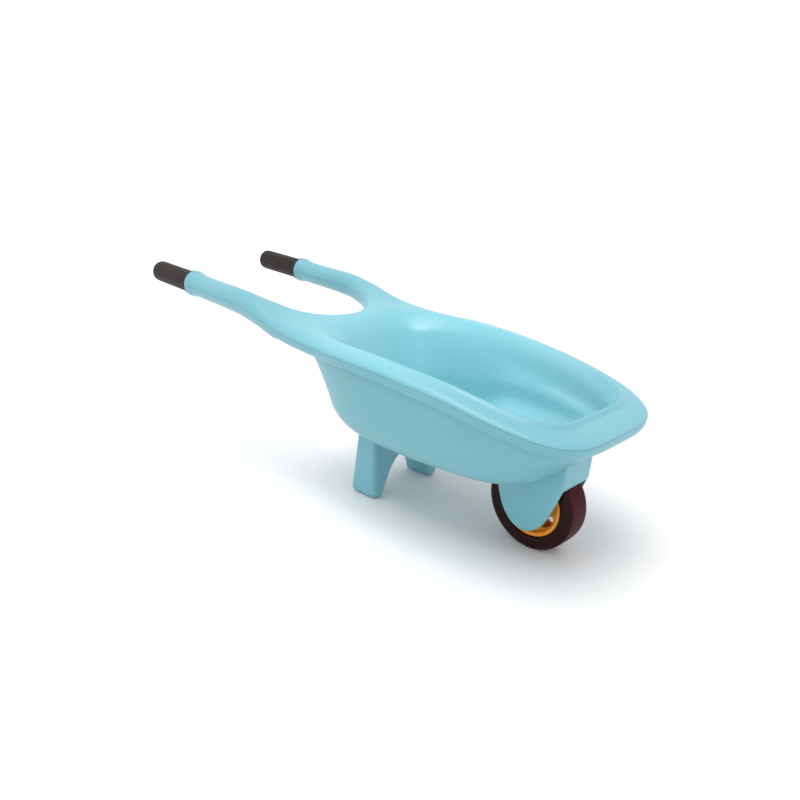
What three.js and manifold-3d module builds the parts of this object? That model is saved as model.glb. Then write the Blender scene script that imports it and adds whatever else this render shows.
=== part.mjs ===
// A child's plastic wheelbarrow. Millimetres, +X towards the nose, +Z up. The origin is on the
// ground, in the middle of the whole length and width.
// The body is two moulded shells that meet along one seam: the upper shell is the basin, the
// rolled rim and the tops of both handles, and the lower shell is the skin under them. A wheel
// fork and an arched leg stand are screwed under the body, and ribbed grips push onto the handles.
import * as THREE from "three";
import Module from "manifold-3d";
import { mergeVertices } from "three/addons/utils/BufferGeometryUtils.js";

// ---------------------------------------------------------------- driving dimensions
const NOSE = 380; // front of the rim, from the line where the handles' lengths are counted
const BACK = -371; // back of the grips
const WALL = 2.6; // moulded wall of both shells
const GAP = 0.3; // air between pieces that touch
const CHORD = 0.2; // how far the outline's straight pieces may cut a corner
const HANDLE_Y = 99; // handle centre line, from the middle plane
const HANDLE_R = 16.2;
const ROOT_X = -110; // where the handles start to spread into the tub
const COLLAR = { x: -267, length: 7, r: 18.6 };
const STUB = { r: 12, end: -358 };
const CROTCH = { x: -150, length: 112, half: HANDLE_Y - HANDLE_R }; // the U between the handles
const TUB_MID = 200; // where the sides turn into the nose
const CREST = { inset: 19, nose: 25, back: -24, rise: 12, square: 5 }; // top of the rolled rim
const SKIRT = { drop: 12.5, inset: 6, step: 3.5, back: -16 }; // rim band under the seam
const FLOOR_Z = 104; // basin floor
const HULL_Z = 87; // underside of the body
const WHEEL = { x: 286, r: 56, half: 17.5, room: 1.5 }; // room is the air round the tyre
const AXLE = { r: 3, half: 25.8 };
const HUB = { r: 6, bore: 3.3, half: 16.6 };
const FORK = { inner: 23.2, outer: 27.5, front: 337, lean: 2.5, wall: 3, roof: 3.2, round: 1.5 };
const WELL = { half: 28, top: 120, back: 229, front: 337.6 }; // wheel well in the underside
const STAND = { back: 31, rake: 15, front: 78, foot: 61.5, spring: 44, crown: 54, wall: 3, round: 3 };
const GRIP = { r: 15.2, ribs: 14, rib: 1.1, flange: 18.2, flangeLength: 4, bore: 12.6, dome: 5.5 };
const SCREW = { shank: 1.6, head: 3.3, headHeight: 2.4, boss: 5 };
const RECESS = 6; // depth of the screw recesses under the handles
const FORK_SCREWS = [[258, -14], [258, 14], [314, -14], [314, 14]];
const STAND_SCREWS = [[64, -36], [64, 36]];
const PAD_Z = 98; // top of the pads that the stand's screws pull on
const SHELL_SCREWS = [[-215, -HANDLE_Y], [-215, HANDLE_Y], [-78, -92], [-78, 92]];
const SPOKES = 5;
const WINDOW = { inner: 15, outer: 33, half: 22, first: -40 }; // rim windows: radii and degrees
const RIM_SCREWS = [0, 2, 4].map((i) => ((WINDOW.first + (360 / SPOKES) * (i + 0.5)) * Math.PI) / 180)
  .map((angle) => [15 * Math.cos(angle), 15 * Math.sin(angle)]);
const COLOURS = {
  body: [0x86cfe0, 0.38, 0], grip: [0x1d1513, 0.45, 0], tyre: [0x140f0e, 0.4, 0],
  rim: [0xe8951c, 0.35, 0], steel: [0xb9bcc0, 0.3, 1], bush: [0xe9e6dc, 0.45, 0],
};

// ---------------------------------------------------------------- small maths
// A smooth function through [x, value] pairs, straight beyond both ends, without overshoot.
function through(pairs) {
  const slope = (i) => (pairs[i + 1][1] - pairs[i][1]) / (pairs[i + 1][0] - pairs[i][0]);
  const tangent = pairs.map((_, i) => {
    if (i === 0) return slope(0);
    if (i === pairs.length - 1) return slope(i - 1);
    const [a, b] = [slope(i - 1), slope(i)];
    return a * b <= 0 ? 0 : (2 * a * b) / (a + b);
  });
  return (x) => {
    const last = pairs.length - 1;
    if (x <= pairs[0][0]) return pairs[0][1] + tangent[0] * (x - pairs[0][0]);
    if (x >= pairs[last][0]) return pairs[last][1] + tangent[last] * (x - pairs[last][0]);
    const i = pairs.findIndex((p) => p[0] > x) - 1;
    const span = pairs[i + 1][0] - pairs[i][0];
    const t = (x - pairs[i][0]) / span;
    const h = (a, b, c, d) => a * t ** 3 + b * t * t + c * t + d;
    return (
      pairs[i][1] * h(2, -3, 0, 1) +
      tangent[i] * span * h(1, -2, 1, 0) +
      pairs[i + 1][1] * h(-2, 3, 0, 0) +
      tangent[i + 1] * span * h(1, -1, 0, 0)
    );
  };
}
const mix = (a, b, t) => a + (b - a) * t;
const bulge = (t) => Math.sqrt(Math.max(0, 1 - (1 - Math.min(t, 1)) ** 2)); // quarter circle, 0 to 1
const power = (v, p) => Math.sign(v) * Math.abs(v) ** p;

// ---------------------------------------------------------------- outlines of the body
// Height of the seam between the shells, which is level across the body.
const seam = through([
  [-NOSE, 253], [COLLAR.x, 245.2], [-213, 240.5], [-161, 237], [-137, 235], [-113, 231], [-91, 226],
  [-69, 220], [-47, 215], [-26, 211.5], [4, 208.5], [50, 206], [100, 205], [200, 197], [300, 180],
  [NOSE, 160.5],
]);
// Outer edge of the handles and of the tub's sides at the seam.
const side = through([
  [BACK, HANDLE_Y + HANDLE_R], [ROOT_X - 50, HANDLE_Y + HANDLE_R], [ROOT_X, 115.6], [-30, 117],
  [30, 120], [94, 127], [161, 125], [222, 121], [300, 116], [NOSE, 110],
]);
// Half width of the tub alone, without the handles.
const tubSide = through([[-40, 118], [30, 123], [94, 127], [161, 125], [222, 121], [300, 116], [NOSE, 110]]);
const crotchEdge = (x) => {
  const u = Math.max(0, (x - CROTCH.x) / CROTCH.length);
  return CROTCH.half * Math.sqrt(Math.max(0, 1 - u * u));
};
// Rise above the seam and drop below it where the section is full, and the width of its edges.
const rise = through([
  [-300, HANDLE_R], [-160, HANDLE_R], [-100, 15], [-60, CREST.rise + 1], [0, CREST.rise],
]);
const drop = through([
  [-300, HANDLE_R], [-200, HANDLE_R], [-147, 18], [-110, 21], [-70, 21], [-37, 18.5], [0, 17],
]);
const outerEdge = through([
  [-300, HANDLE_R], [-160, HANDLE_R], [ROOT_X, 20.5], [-50, CREST.inset], [200, CREST.inset],
  [360, CREST.nose - 1],
]);
const innerEdge = through([[-300, HANDLE_R], [-160, HANDLE_R], [ROOT_X, 17.5], [-50, 17], [0, 17]]);

// One half of a loop round the body is s from 0 at the nose to 1 at the back, in these steps.
const STEPS = { nose: 8, side: 5, root: 6, back: 5 };
const AT = { side: 0.5, root: 0.7, back: 0.8 };
function loopSteps() {
  const steps = [];
  const add = (from, to, count) => {
    for (let i = 0; i < count; i++) steps.push(mix(from, to, i / count));
  };
  add(0, AT.side, STEPS.nose);
  add(AT.side, AT.root, STEPS.side);
  add(AT.root, AT.back, STEPS.root);
  add(AT.back, 1, STEPS.back);
  steps.push(1);
  return steps;
}
// The seam's loop: nose, side, across the handle's root, and round the crotch.
function outerPoint(s) {
  if (s <= AT.side) {
    const x = TUB_MID + (NOSE - TUB_MID) * power(Math.cos(Math.PI * s), 0.5);
    return [x, side(x) * power(Math.sin(Math.PI * s), 0.5)];
  }
  if (s <= AT.root) {
    const x = mix(TUB_MID, ROOT_X, (s - AT.side) / (AT.root - AT.side));
    return [x, side(x)];
  }
  if (s <= AT.back) {
    const turn = (Math.PI * (s - AT.root)) / (AT.back - AT.root);
    const [out, inn] = [side(ROOT_X), crotchEdge(ROOT_X)];
    return [ROOT_X, (out + inn) / 2 + ((out - inn) / 2) * Math.cos(turn)];
  }
  const start = Math.acos((ROOT_X - CROTCH.x) / CROTCH.length);
  const angle = start * (1 - (s - AT.back) / (1 - AT.back));
  return [CROTCH.x + CROTCH.length * Math.cos(angle), CROTCH.half * Math.sin(angle)];
}
// A loop of the tub alone: a rounded box from rear to nose, inset from the tub's sides.
function tubPoint(s, { rear, nose, inset, square = 4 }) {
  const [c, sn] = [Math.cos(Math.PI * s), Math.sin(Math.PI * s)];
  const reach = c >= 0 ? nose - TUB_MID : TUB_MID - rear;
  const x = TUB_MID + reach * power(c, 2 / square);
  return [x, (tubSide(x) - inset) * power(sn, 2 / square)];
}

// Distance of a plan point from the outer side line and from the crotch line.
const sideLine = [];
for (let i = 0; i <= 60; i++) sideLine.push(outerPoint((AT.side * i) / 60));
for (let x = TUB_MID; x >= COLLAR.x; x -= 10) sideLine.push([x, side(x)]);
const crotchLine = [];
for (let i = 0; i <= 40; i++) {
  const angle = (Math.PI / 2) * (i / 40);
  crotchLine.push([CROTCH.x + CROTCH.length * Math.cos(angle), CROTCH.half * Math.sin(angle)]);
}
crotchLine.push([COLLAR.x, CROTCH.half]);
function distance(line, x, y) {
  let best = Infinity;
  for (let i = 1; i < line.length; i++) {
    const [[ax, ay], [bx, by]] = [line[i - 1], line[i]];
    const [dx, dy] = [bx - ax, by - ay];
    const t = Math.min(1, Math.max(0, ((x - ax) * dx + (y - ay) * dy) / (dx * dx + dy * dy)));
    best = Math.min(best, Math.hypot(x - ax - t * dx, y - ay - t * dy));
  }
  return best;
}
// Share of the full section at a plan point, 0 on the outline and 1 away from it. The outline's
// straight pieces cut its corners a little, so a point within that much of it counts as on it.
function fullness(x, y) {
  const from = (line) => Math.max(0, distance(line, x, Math.abs(y)) - CHORD);
  return Math.min(bulge(from(sideLine) / outerEdge(x)), bulge(from(crotchLine) / innerEdge(x)));
}
const overTop = (x, y) => seam(x) + GAP / 2 + rise(x) * fullness(x, y);
const underside = (x, y) => seam(x) - GAP / 2 - drop(x) * fullness(x, y);

// ---------------------------------------------------------------- surfaces and solids
// Joins the rows of a closed half loop, mirrored to a full one, into triangles.
function skinOf(rows, pole) {
  const full = rows.map((row) => {
    const mirrored = row.slice(1, -1).reverse().map(([x, y, z]) => [x, -y, z]);
    return [...row, ...mirrored];
  });
  const triangles = [];
  for (let r = 1; r < full.length; r++) joinRows(triangles, full[r - 1], full[r], true);
  const last = full[full.length - 1];
  last.forEach((p, i) => triangles.push([p, last[(i + 1) % last.length], pole]));
  return triangles;
}
function joinRows(triangles, a, b, closed) {
  const count = closed ? a.length : a.length - 1;
  for (let i = 0; i < count; i++) {
    const j = (i + 1) % a.length;
    triangles.push([a[i], a[j], b[j]], [a[i], b[j], b[i]]);
  }
}
function indexed(triangles) {
  const geometry = new THREE.BufferGeometry();
  geometry.setAttribute("position", new THREE.Float32BufferAttribute(triangles.flat(2), 3));
  return mergeVertices(geometry, 1e-3);
}
// Gives an open surface a wall: a copy moved along the normals, joined on at the open edges.
// Along the seam the wall is level, so that the two shells meet flat.
function thicken(triangles, thickness) {
  const surface = indexed(triangles);
  surface.computeVertexNormals();
  const { position, normal } = surface.attributes;
  const faces = [];
  for (let i = 0; i < surface.index.count; i += 3) {
    const f = [0, 1, 2].map((k) => surface.index.getX(i + k));
    if (new Set(f).size === 3) faces.push(f);
  }
  const vertices = [...position.array];
  for (let i = 0; i < position.count; i++) {
    const point = new THREE.Vector3().fromBufferAttribute(position, i);
    const inward = new THREE.Vector3().fromBufferAttribute(normal, i);
    const onSeam = Math.abs(point.z - seam(point.x)) < 0.51 * GAP;
    if (onSeam) inward.setZ(0).normalize();
    vertices.push(...point.addScaledVector(inward, -thickness));
  }
  const edges = new Set(faces.flatMap(([a, b, c]) => [`${a},${b}`, `${b},${c}`, `${c},${a}`]));
  const all = [...faces, ...faces.map(([a, b, c]) => [c, b, a].map((v) => v + position.count))];
  for (const edge of edges) {
    const [a, b] = edge.split(",").map(Number);
    if (edges.has(`${b},${a}`)) continue;
    all.push([b, a, a + position.count], [b, a + position.count, b + position.count]);
  }
  return solidFrom(vertices, all.flat());
}

const wasm = await Module();
wasm.setup();
function solidFrom(vertices, indices) {
  const build = (tri) =>
    new wasm.Manifold(
      new wasm.Mesh({
        numProp: 3,
        vertProperties: new Float32Array(vertices),
        triVerts: new Uint32Array(tri),
      }),
    );
  const made = build(indices);
  return made.volume() > 0 ? made : build([...indices].reverse());
}
function solidOf(geometry) {
  const bare = geometry.index ? geometry.toNonIndexed() : geometry;
  const merged = mergeVertices(
    new THREE.BufferGeometry().setAttribute("position", bare.getAttribute("position")),
    1e-3,
  );
  return solidFrom(merged.attributes.position.array, merged.index.array);
}
function geometryOf(solid) {
  const mesh = solid.getMesh();
  const geometry = new THREE.BufferGeometry();
  const array = new Float32Array(mesh.numVert * 3);
  for (let i = 0; i < mesh.numVert; i++) {
    array.set(mesh.vertProperties.subarray(i * mesh.numProp, i * mesh.numProp + 3), i * 3);
  }
  geometry.setAttribute("position", new THREE.BufferAttribute(array, 3));
  geometry.setIndex(new THREE.BufferAttribute(mesh.triVerts, 1));
  return geometry;
}
// An upright round post from z0 to z1.
function post(x, y, z0, z1, r) {
  const geometry = new THREE.CylinderGeometry(r, r, z1 - z0, 12).rotateX(Math.PI / 2);
  return solidOf(geometry.translate(x, y, (z0 + z1) / 2));
}
const hole = (x, y, z0, z1) => post(x, y, z0, z1, SCREW.shank + GAP);
function block(x0, x1, y0, y1, z0, z1) {
  const geometry = new THREE.BoxGeometry(x1 - x0, y1 - y0, z1 - z0);
  return solidOf(geometry.translate((x0 + x1) / 2, (y0 + y1) / 2, (z0 + z1) / 2));
}
// A round pin or sleeve along Y, centred on the middle plane, from an [r, y] profile.
function turned(profile, sides = 40) {
  return new THREE.LatheGeometry(profile.map(([r, y]) => new THREE.Vector2(r, y)), sides);
}
// An outline in the XZ plane carried along Y, with softened edges.
function acrossY(shape, half, soften = 0) {
  const depth = 2 * (half - soften);
  const geometry = new THREE.ExtrudeGeometry(shape, {
    depth, curveSegments: 10, bevelEnabled: soften > 0, bevelSize: soften, bevelThickness: soften,
    bevelOffset: -soften, bevelSegments: 2,
  });
  return geometry.translate(0, 0, -depth / 2).rotateX(Math.PI / 2);
}

// ---------------------------------------------------------------- handle halves
const GRIP_SLOPE = Math.atan2(seam(STUB.end) - seam(COLLAR.x), COLLAR.x - STUB.end);
// Half width and half height of the handle behind its root, with its collar and its stub.
function handleStations() {
  const stations = [[STUB.end, STUB.r, STUB.r], [COLLAR.x - GAP, STUB.r, STUB.r]];
  stations.push([COLLAR.x, COLLAR.r, COLLAR.r], [COLLAR.x + COLLAR.length, COLLAR.r, COLLAR.r]);
  stations.push([COLLAR.x + COLLAR.length + 8, HANDLE_R + 0.6, HANDLE_R + 0.6]);
  for (let x = COLLAR.x + 28; x < ROOT_X - 5; x += 20) stations.push([x, null, null]);
  stations.push([ROOT_X, null, null]);
  return stations;
}
function handleSkin(up) {
  const rows = handleStations().map(([x, halfWidth, halfHeight]) => {
    const [out, inn] = [side(x), crotchEdge(x)];
    const centre = halfWidth ? HANDLE_Y : (out + inn) / 2;
    const half = halfWidth ?? (out - inn) / 2;
    const row = [];
    for (let i = 0; i <= STEPS.root; i++) {
      const turn = (Math.PI * i) / STEPS.root;
      const y = centre + half * Math.cos(turn);
      const lift = (up ? 1 : -1) * (GAP / 2 + (halfHeight ?? 0) * Math.sin(turn));
      if (halfHeight) row.push([x + lift * Math.sin(GRIP_SLOPE), y, seam(x) + lift]);
      else row.push([x, y, up ? overTop(x, y) : underside(x, y)]);
    }
    return row;
  });
  const triangles = [];
  for (let r = 1; r < rows.length; r++) joinRows(triangles, rows[r - 1], rows[r], false);
  const mirrored = triangles.map((t) => t.map(([x, y, z]) => [x, -y, z]).reverse());
  return [...triangles, ...mirrored];
}

// ---------------------------------------------------------------- upper shell
// Rings inside the rim, then down the basin's wall and over its floor.
const BASIN = [
  { rear: -12, nose: 350, inset: 24, z: (x) => seam(x) + 10, square: 4.8 },
  { rear: -1, nose: 345.5, inset: 30, z: (x) => seam(x) + 4.5, square: 4.5 },
  { rear: 9, nose: 342, inset: 36, z: (x) => seam(x) - 4 },
  { rear: 22, nose: 337, inset: 43, z: (x) => seam(x) - 20 },
  { rear: 44, nose: 328, inset: 53, z: (x) => basinLevel(x, 0.55) },
  { rear: 61, nose: 319, inset: 61, z: (x) => basinLevel(x, 0.16), square: 3.6 },
  { rear: 73, nose: 311, inset: 68, z: (x) => basinLevel(x, 0.04), square: 3.4 },
  { rear: 100, nose: 290, inset: 84, z: (x) => basinLevel(x, 0), square: 3 },
  { rear: 130, nose: 250, inset: 98, z: (x) => basinLevel(x, 0), square: 2.4 },
];
// The basin's floor is level, and steps up over the wheel well.
const floorLevel = through([[60, FLOOR_Z], [130, FLOOR_Z], [200, 129.5], [260, 130], [350, 130]]);
const basinLevel = (x, share) => mix(floorLevel(x), seam(x) - 12, share);

function upperSkin() {
  const steps = loopSteps();
  const crest = { rear: CREST.back, nose: NOSE - CREST.nose, inset: CREST.inset, square: CREST.square };
  const rows = [0, 0.05, 0.2, 0.5, 1].map((w) =>
    steps.map((s) => {
      const [[ox, oy], [ix, iy]] = [outerPoint(s), tubPoint(s, crest)];
      const [x, y] = [mix(ox, ix, w), mix(oy, iy, w)];
      return [x, y, overTop(x, y)];
    }),
  );
  for (const ring of BASIN) {
    rows.push(steps.map((s) => {
      const [x, y] = tubPoint(s, ring);
      return [x, y, ring.z(x) + GAP / 2];
    }));
  }
  return [...skinOf(rows, [190, 0, floorLevel(190) + GAP / 2]), ...handleSkin(true)];
}
function upperShell() {
  let shell = thicken(upperSkin(), WALL);
  for (const [x, y] of SHELL_SCREWS) {
    const top = overTop(x, y) - WALL / 2;
    shell = shell.add(post(x, y, seam(x) + GAP, top, SCREW.boss)).subtract(hole(x, y, seam(x), top - 2));
  }
  return shell;
}

// ---------------------------------------------------------------- lower shell
// The tub's wall under the rim's band, from top to bottom: heights at the back and at the nose.
const HULL = [
  { rear: -42, nose: 369, inset: SKIRT.inset + SKIRT.step + 1, back: -17, front: -16 },
  { rear: -34, nose: 366, inset: 12, back: -26, front: -21 },
  { rear: -23, nose: 356, inset: 15, back: -42, front: -31 },
  { rear: -11, nose: 341, inset: 20, back: -66, front: -42 },
  { rear: -3, nose: 326, inset: 25, back: -88, front: -52.5 },
  { rear: 8, nose: 311, inset: 32, back: -103, front: -62, square: 3.8 },
  { rear: 24, nose: 294, inset: 43, back: -113, front: -68, square: 3.4 },
  { rear: 45, nose: 272, inset: 59, back: -117.5, front: -71, square: 3 },
  { rear: 75, nose: 245, inset: 80, back: -119, front: -73, square: 2.6 },
];
const noseShare = (x) => (seam(50) - seam(Math.max(50, x))) / (seam(50) - seam(NOSE));
function hullHeight(x, ring) {
  const share = noseShare(x);
  const base = ring.back > -60 ? seam(x) : mix(seam(50), seam(NOSE), share);
  return base + mix(ring.back, ring.front, share);
}
function hullRows(grow) {
  const steps = loopSteps();
  const band = { rear: SKIRT.back, nose: NOSE - SKIRT.inset, inset: SKIRT.inset };
  const rows = [0, 0.33, 1].map((w) =>
    steps.map((s) => {
      const [ox, oy] = outerPoint(s);
      const [ix, iy] = tubPoint(s, band);
      const rearPart = s > AT.side ? Math.min(1, (s - AT.side) / (AT.root - AT.side)) : 0;
      const reach = mix(w, w * 0.35, rearPart);
      const [x, y] = [mix(ox, ix, reach), mix(oy, iy, reach)];
      const bandZ = seam(x) - GAP / 2 - SKIRT.drop * bulge(w);
      return [x, y, mix(bandZ, underside(x, y), rearPart) - grow];
    }),
  );
  HULL.forEach((ring, k) => {
    rows.push(steps.map((s) => {
      const [x, y] = tubPoint(s, { ...ring, inset: ring.inset - grow });
      const z = k === 0 ? Math.min(hullHeight(x, ring), underside(x, y) - 1) : hullHeight(x, ring);
      return [x, y, z - grow];
    }));
  });
  return rows;
}
const hullPole = (grow) => [160, 0, HULL_Z - grow];
const reversed = (triangles) => triangles.map(([a, b, c]) => [c, b, a]);
// The tub's outside as one closed solid, grown a little, to cut what is screwed under it.
function hullSolid(grow) {
  const rows = hullRows(grow).slice(2);
  const lid = [120, 0, seam(120) + 30];
  const skin = skinOf(rows, hullPole(grow));
  const top = rows[0];
  const ring = [...top, ...top.slice(1, -1).reverse().map(([x, y, z]) => [x, -y, z])];
  ring.forEach((p, i) => skin.push([ring[(i + 1) % ring.length], p, lid]));
  const closed = indexed(skin);
  return solidFrom(closed.attributes.position.array, closed.index.array);
}

// Wheel well: the recess that the fork sits in, with walls of its own.
function lowerShell() {
  const skin = [...skinOf(hullRows(0), hullPole(0)), ...handleSkin(false)];
  const { back, front, half, top } = WELL;
  const lining = block(back - WALL, front + WALL, -half - WALL, half + WALL, HULL_Z - 5, top + WALL);
  let shell = thicken(reversed(skin), WALL).add(lining.intersect(hullSolid(0)));
  for (const [x, y] of FORK_SCREWS) shell = shell.add(post(x, y, top, top + WALL + 3, SCREW.boss));
  shell = shell.subtract(block(back, front, -half, half, 0, top));
  for (const [x, y] of FORK_SCREWS) shell = shell.subtract(hole(x, y, top - 1, top + WALL + 2));
  for (const [x, y] of STAND_SCREWS) {
    shell = shell.add(post(x, y, HULL_Z + 2.5, PAD_Z, SCREW.boss));
    shell = shell.subtract(hole(x, y, HULL_Z - 9, PAD_Z + 1));
  }
  for (const [x, y] of SHELL_SCREWS) {
    const bottom = underside(x, y);
    shell = shell.add(post(x, y, bottom + 1, seam(x) - GAP, SCREW.boss + 1));
    shell = shell.subtract(hole(x, y, bottom - 1, seam(x) + 1));
    shell = shell.subtract(post(x, y, bottom - 3, bottom + RECESS, SCREW.head + GAP));
  }
  return shell;
}

// ---------------------------------------------------------------- what is screwed under the body
function forkOutline() {
  const { front, lean } = FORK;
  const shape = new THREE.Shape();
  shape.moveTo(238, WELL.top - GAP).lineTo(238, 98);
  shape.bezierCurveTo(246, 84, 248, 68, 253, 55);
  shape.bezierCurveTo(260, 38, 268, 26, 285, 26);
  shape.bezierCurveTo(300, 26, 308, 33, 316, 50);
  shape.lineTo(324, 67).quadraticCurveTo(330, 82, front - lean, 93);
  shape.lineTo(front, WELL.top - GAP).closePath();
  return shape;
}
// A stirrup: two plates, a front wall and a roof, open below and behind for the wheel.
function wheelFork() {
  const { front, lean, wall, inner, roof } = FORK;
  const inside = block(0, front - lean - wall, -inner, inner, 0, WELL.top - GAP - roof);
  const reach = WHEEL.r + WHEEL.room;
  const room = turned([[0, -inner], [reach, -inner], [reach, inner], [0, inner]], 72);
  let fork = solidOf(acrossY(forkOutline(), FORK.outer, FORK.round)).subtract(inside);
  fork = fork.subtract(solidOf(room.translate(WHEEL.x, 0, WHEEL.r)));
  for (const [x, y] of FORK_SCREWS) fork = fork.subtract(hole(x, y, WELL.top - 9, WELL.top + 9));
  const socket = turned([[0, -AXLE.half - GAP], [AXLE.r + GAP, -AXLE.half - GAP],
    [AXLE.r + GAP, AXLE.half + GAP], [0, AXLE.half + GAP]], 24);
  return fork.subtract(solidOf(socket.translate(WHEEL.x, 0, WHEEL.r)));
}
// The arch that the stand shows from the front, as a shape in the YZ plane.
function archOutline(inset) {
  const [foot, spring, sole] = [STAND.foot - inset, STAND.spring + inset, inset];
  const crown = STAND.crown + inset;
  const shape = new THREE.Shape();
  shape.moveTo(foot, sole).lineTo(foot - 2, HULL_Z + 40).lineTo(-foot + 2, HULL_Z + 40);
  shape.lineTo(-foot, sole).lineTo(-spring, sole);
  shape.bezierCurveTo(-0.8 * spring, 0.42 * crown, -0.5 * spring, crown, 0, crown);
  shape.bezierCurveTo(0.5 * spring, crown, 0.8 * spring, 0.42 * crown, spring, sole).closePath();
  return shape;
}
// The arch carried from front to back, with its back face raked.
function archSolid(inset, soften) {
  const geometry = new THREE.ExtrudeGeometry(archOutline(inset + soften), {
    depth: 60 - 2 * soften, curveSegments: 8, bevelEnabled: soften > 0, bevelSize: soften,
    bevelThickness: soften, bevelSegments: 2,
  });
  geometry.rotateX(Math.PI / 2).rotateZ(Math.PI / 2).translate(STAND.front - inset - 60 + soften, 0, 0);
  const raked = new THREE.Shape();
  const back = STAND.back + inset;
  raked.moveTo(back, inset).lineTo(120, inset).lineTo(120, 130);
  raked.lineTo(back + (STAND.rake * 130) / HULL_Z, 130).closePath();
  return solidOf(geometry).intersect(solidOf(acrossY(raked, 100)));
}
function legStand() {
  let stand = archSolid(0, STAND.round).subtract(archSolid(STAND.wall, 0));
  for (const [x, y] of STAND_SCREWS) {
    stand = stand.add(post(x, y, 15, HULL_Z + 20, SCREW.boss).intersect(archSolid(1, 0)));
  }
  stand = stand.subtract(hullSolid(GAP));
  for (const [x, y] of STAND_SCREWS) stand = stand.subtract(hole(x, y, HULL_Z - 18, HULL_Z + 30));
  return stand;
}
// A pan head screw along +Z: the head's seat is at z = 0 and the shank hangs below it.
function screw(length) {
  const { shank, head, headHeight } = SCREW;
  const profile = [[0, -length], [shank, -length + 1.5], [shank, 0], [head, 0],
    [head, headHeight * 0.5], [head * 0.7, headHeight], [0, headHeight]];
  return turned(profile, 12).rotateX(Math.PI / 2);
}

// ---------------------------------------------------------------- grips and wheel
// A ribbed sleeve, closed at its domed end, along +X from its flange.
function grip() {
  const length = (COLLAR.x - 2 * GAP - BACK) / Math.cos(GRIP_SLOPE) - GRIP.r * Math.sin(GRIP_SLOPE) ** 2;
  const reach = [0, 0, GRIP.flangeLength, GRIP.flangeLength + 1.5, length - GRIP.dome];
  const radius = [GRIP.bore, GRIP.flange, GRIP.flange, GRIP.r, GRIP.r];
  const profile = reach.map((x, i) => [radius[i], x]);
  for (const t of [0.35, 0.65, 0.88]) {
    const turn = (Math.PI / 2) * t;
    profile.push([GRIP.r * Math.cos(turn), length - GRIP.dome * (1 - Math.sin(turn))]);
  }
  const tip = COLLAR.x - STUB.end + 2;
  profile.push([0, length], [0, tip], [GRIP.bore, tip], [GRIP.bore, 0]);
  const sleeve = solidOf(turned(profile, 2 * GRIP.ribs));
  return Array.from({ length: GRIP.ribs }, (_, i) => (2 * Math.PI * i) / GRIP.ribs).reduce((solid, angle) => {
    const rib = new THREE.CapsuleGeometry(GRIP.rib * 1.5, length - GRIP.dome - 16, 1, 5);
    rib.translate(GRIP.r - GRIP.rib * 0.5, 6 + (length - GRIP.dome) / 2, 0).rotateY(angle);
    return solid.add(solidOf(rib));
  }, sleeve);
}
function tyre() {
  const { r, half } = WHEEL;
  return turned([
    [36.4, -11.7], [40, -11.9], [40, -15.6], [43, -17], [48, half * -0.97], [52, -16.4], [54.6, -14.6],
    [r, -12], [r, 12], [54.6, 14.6], [52, 16.4], [48, half * 0.97], [43, 17], [40, 15.6], [40, 11.9],
    [36.4, 11.7], [36.4, -11.7],
  ], 36);
}
// One half of the rim, from the middle plane outwards along +Y: barrel, flange, spoked web, hub.
// The right half is made to be turned over onto the left one, so its windows and bosses are mirrored.
function rimHalf(right) {
  const mirror = right ? -1 : 1;
  let rim = solidOf(turned([
    [HUB.r + GAP, GAP / 2], [9.5, GAP / 2], [9.5, 6], [33.4, 6], [33.4, GAP / 2], [36, GAP / 2], [36, 12.2],
    [39.6, 12.2], [39.6, 14.6], [35.6, 14.6], [33.4, 12], [33.4, 9.4], [11, 10.5], [9.5, HUB.half],
    [HUB.r + GAP, HUB.half], [HUB.r + GAP, GAP / 2],
  ], 30));
  const window = new THREE.Shape();
  const span = (WINDOW.half * Math.PI) / 180;
  window.absarc(0, 0, WINDOW.outer, -span, span, false);
  window.absarc(0, 0, WINDOW.inner, span * 0.8, -span * 0.8, true);
  window.closePath();
  for (let i = 0; i < SPOKES; i++) {
    const angle = ((WINDOW.first + (360 / SPOKES) * i) * Math.PI) / 180;
    const cut = new THREE.ExtrudeGeometry(window, { depth: 30, bevelEnabled: false, curveSegments: 3 });
    rim = rim.subtract(solidOf(cut.rotateX(Math.PI / 2).rotateY(-mirror * angle).translate(0, 30, 0)));
  }
  for (const [x, z] of RIM_SCREWS) {
    const boss = new THREE.CylinderGeometry(3.6, 3.6, 8 - GAP / 2, 12).translate(x, 4 + GAP / 4, mirror * z);
    const bore = new THREE.CylinderGeometry(SCREW.shank + GAP, SCREW.shank + GAP, right ? 14 : 40, 12);
    rim = rim.add(solidOf(boss)).subtract(solidOf(bore.translate(x, 0, mirror * z)));
  }
  return rim;
}

// ---------------------------------------------------------------- assembly
const barrow = new THREE.Group();
barrow.position.x = -(NOSE + BACK) / 2;
function piece(parent, name, shape, [color, roughness, metalness]) {
  const geometry = shape.isBufferGeometry ? shape : geometryOf(shape);
  const mesh = new THREE.Mesh(geometry, new THREE.MeshStandardMaterial({ color, roughness, metalness }));
  mesh.name = name;
  parent.add(mesh);
  return mesh;
}
piece(barrow, "tub_upper_shell", upperShell(), COLOURS.body);
piece(barrow, "tub_lower_shell", lowerShell(), COLOURS.body);
piece(barrow, "leg_stand", legStand(), COLOURS.body);
piece(barrow, "wheel_fork", wheelFork(), COLOURS.body);

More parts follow.
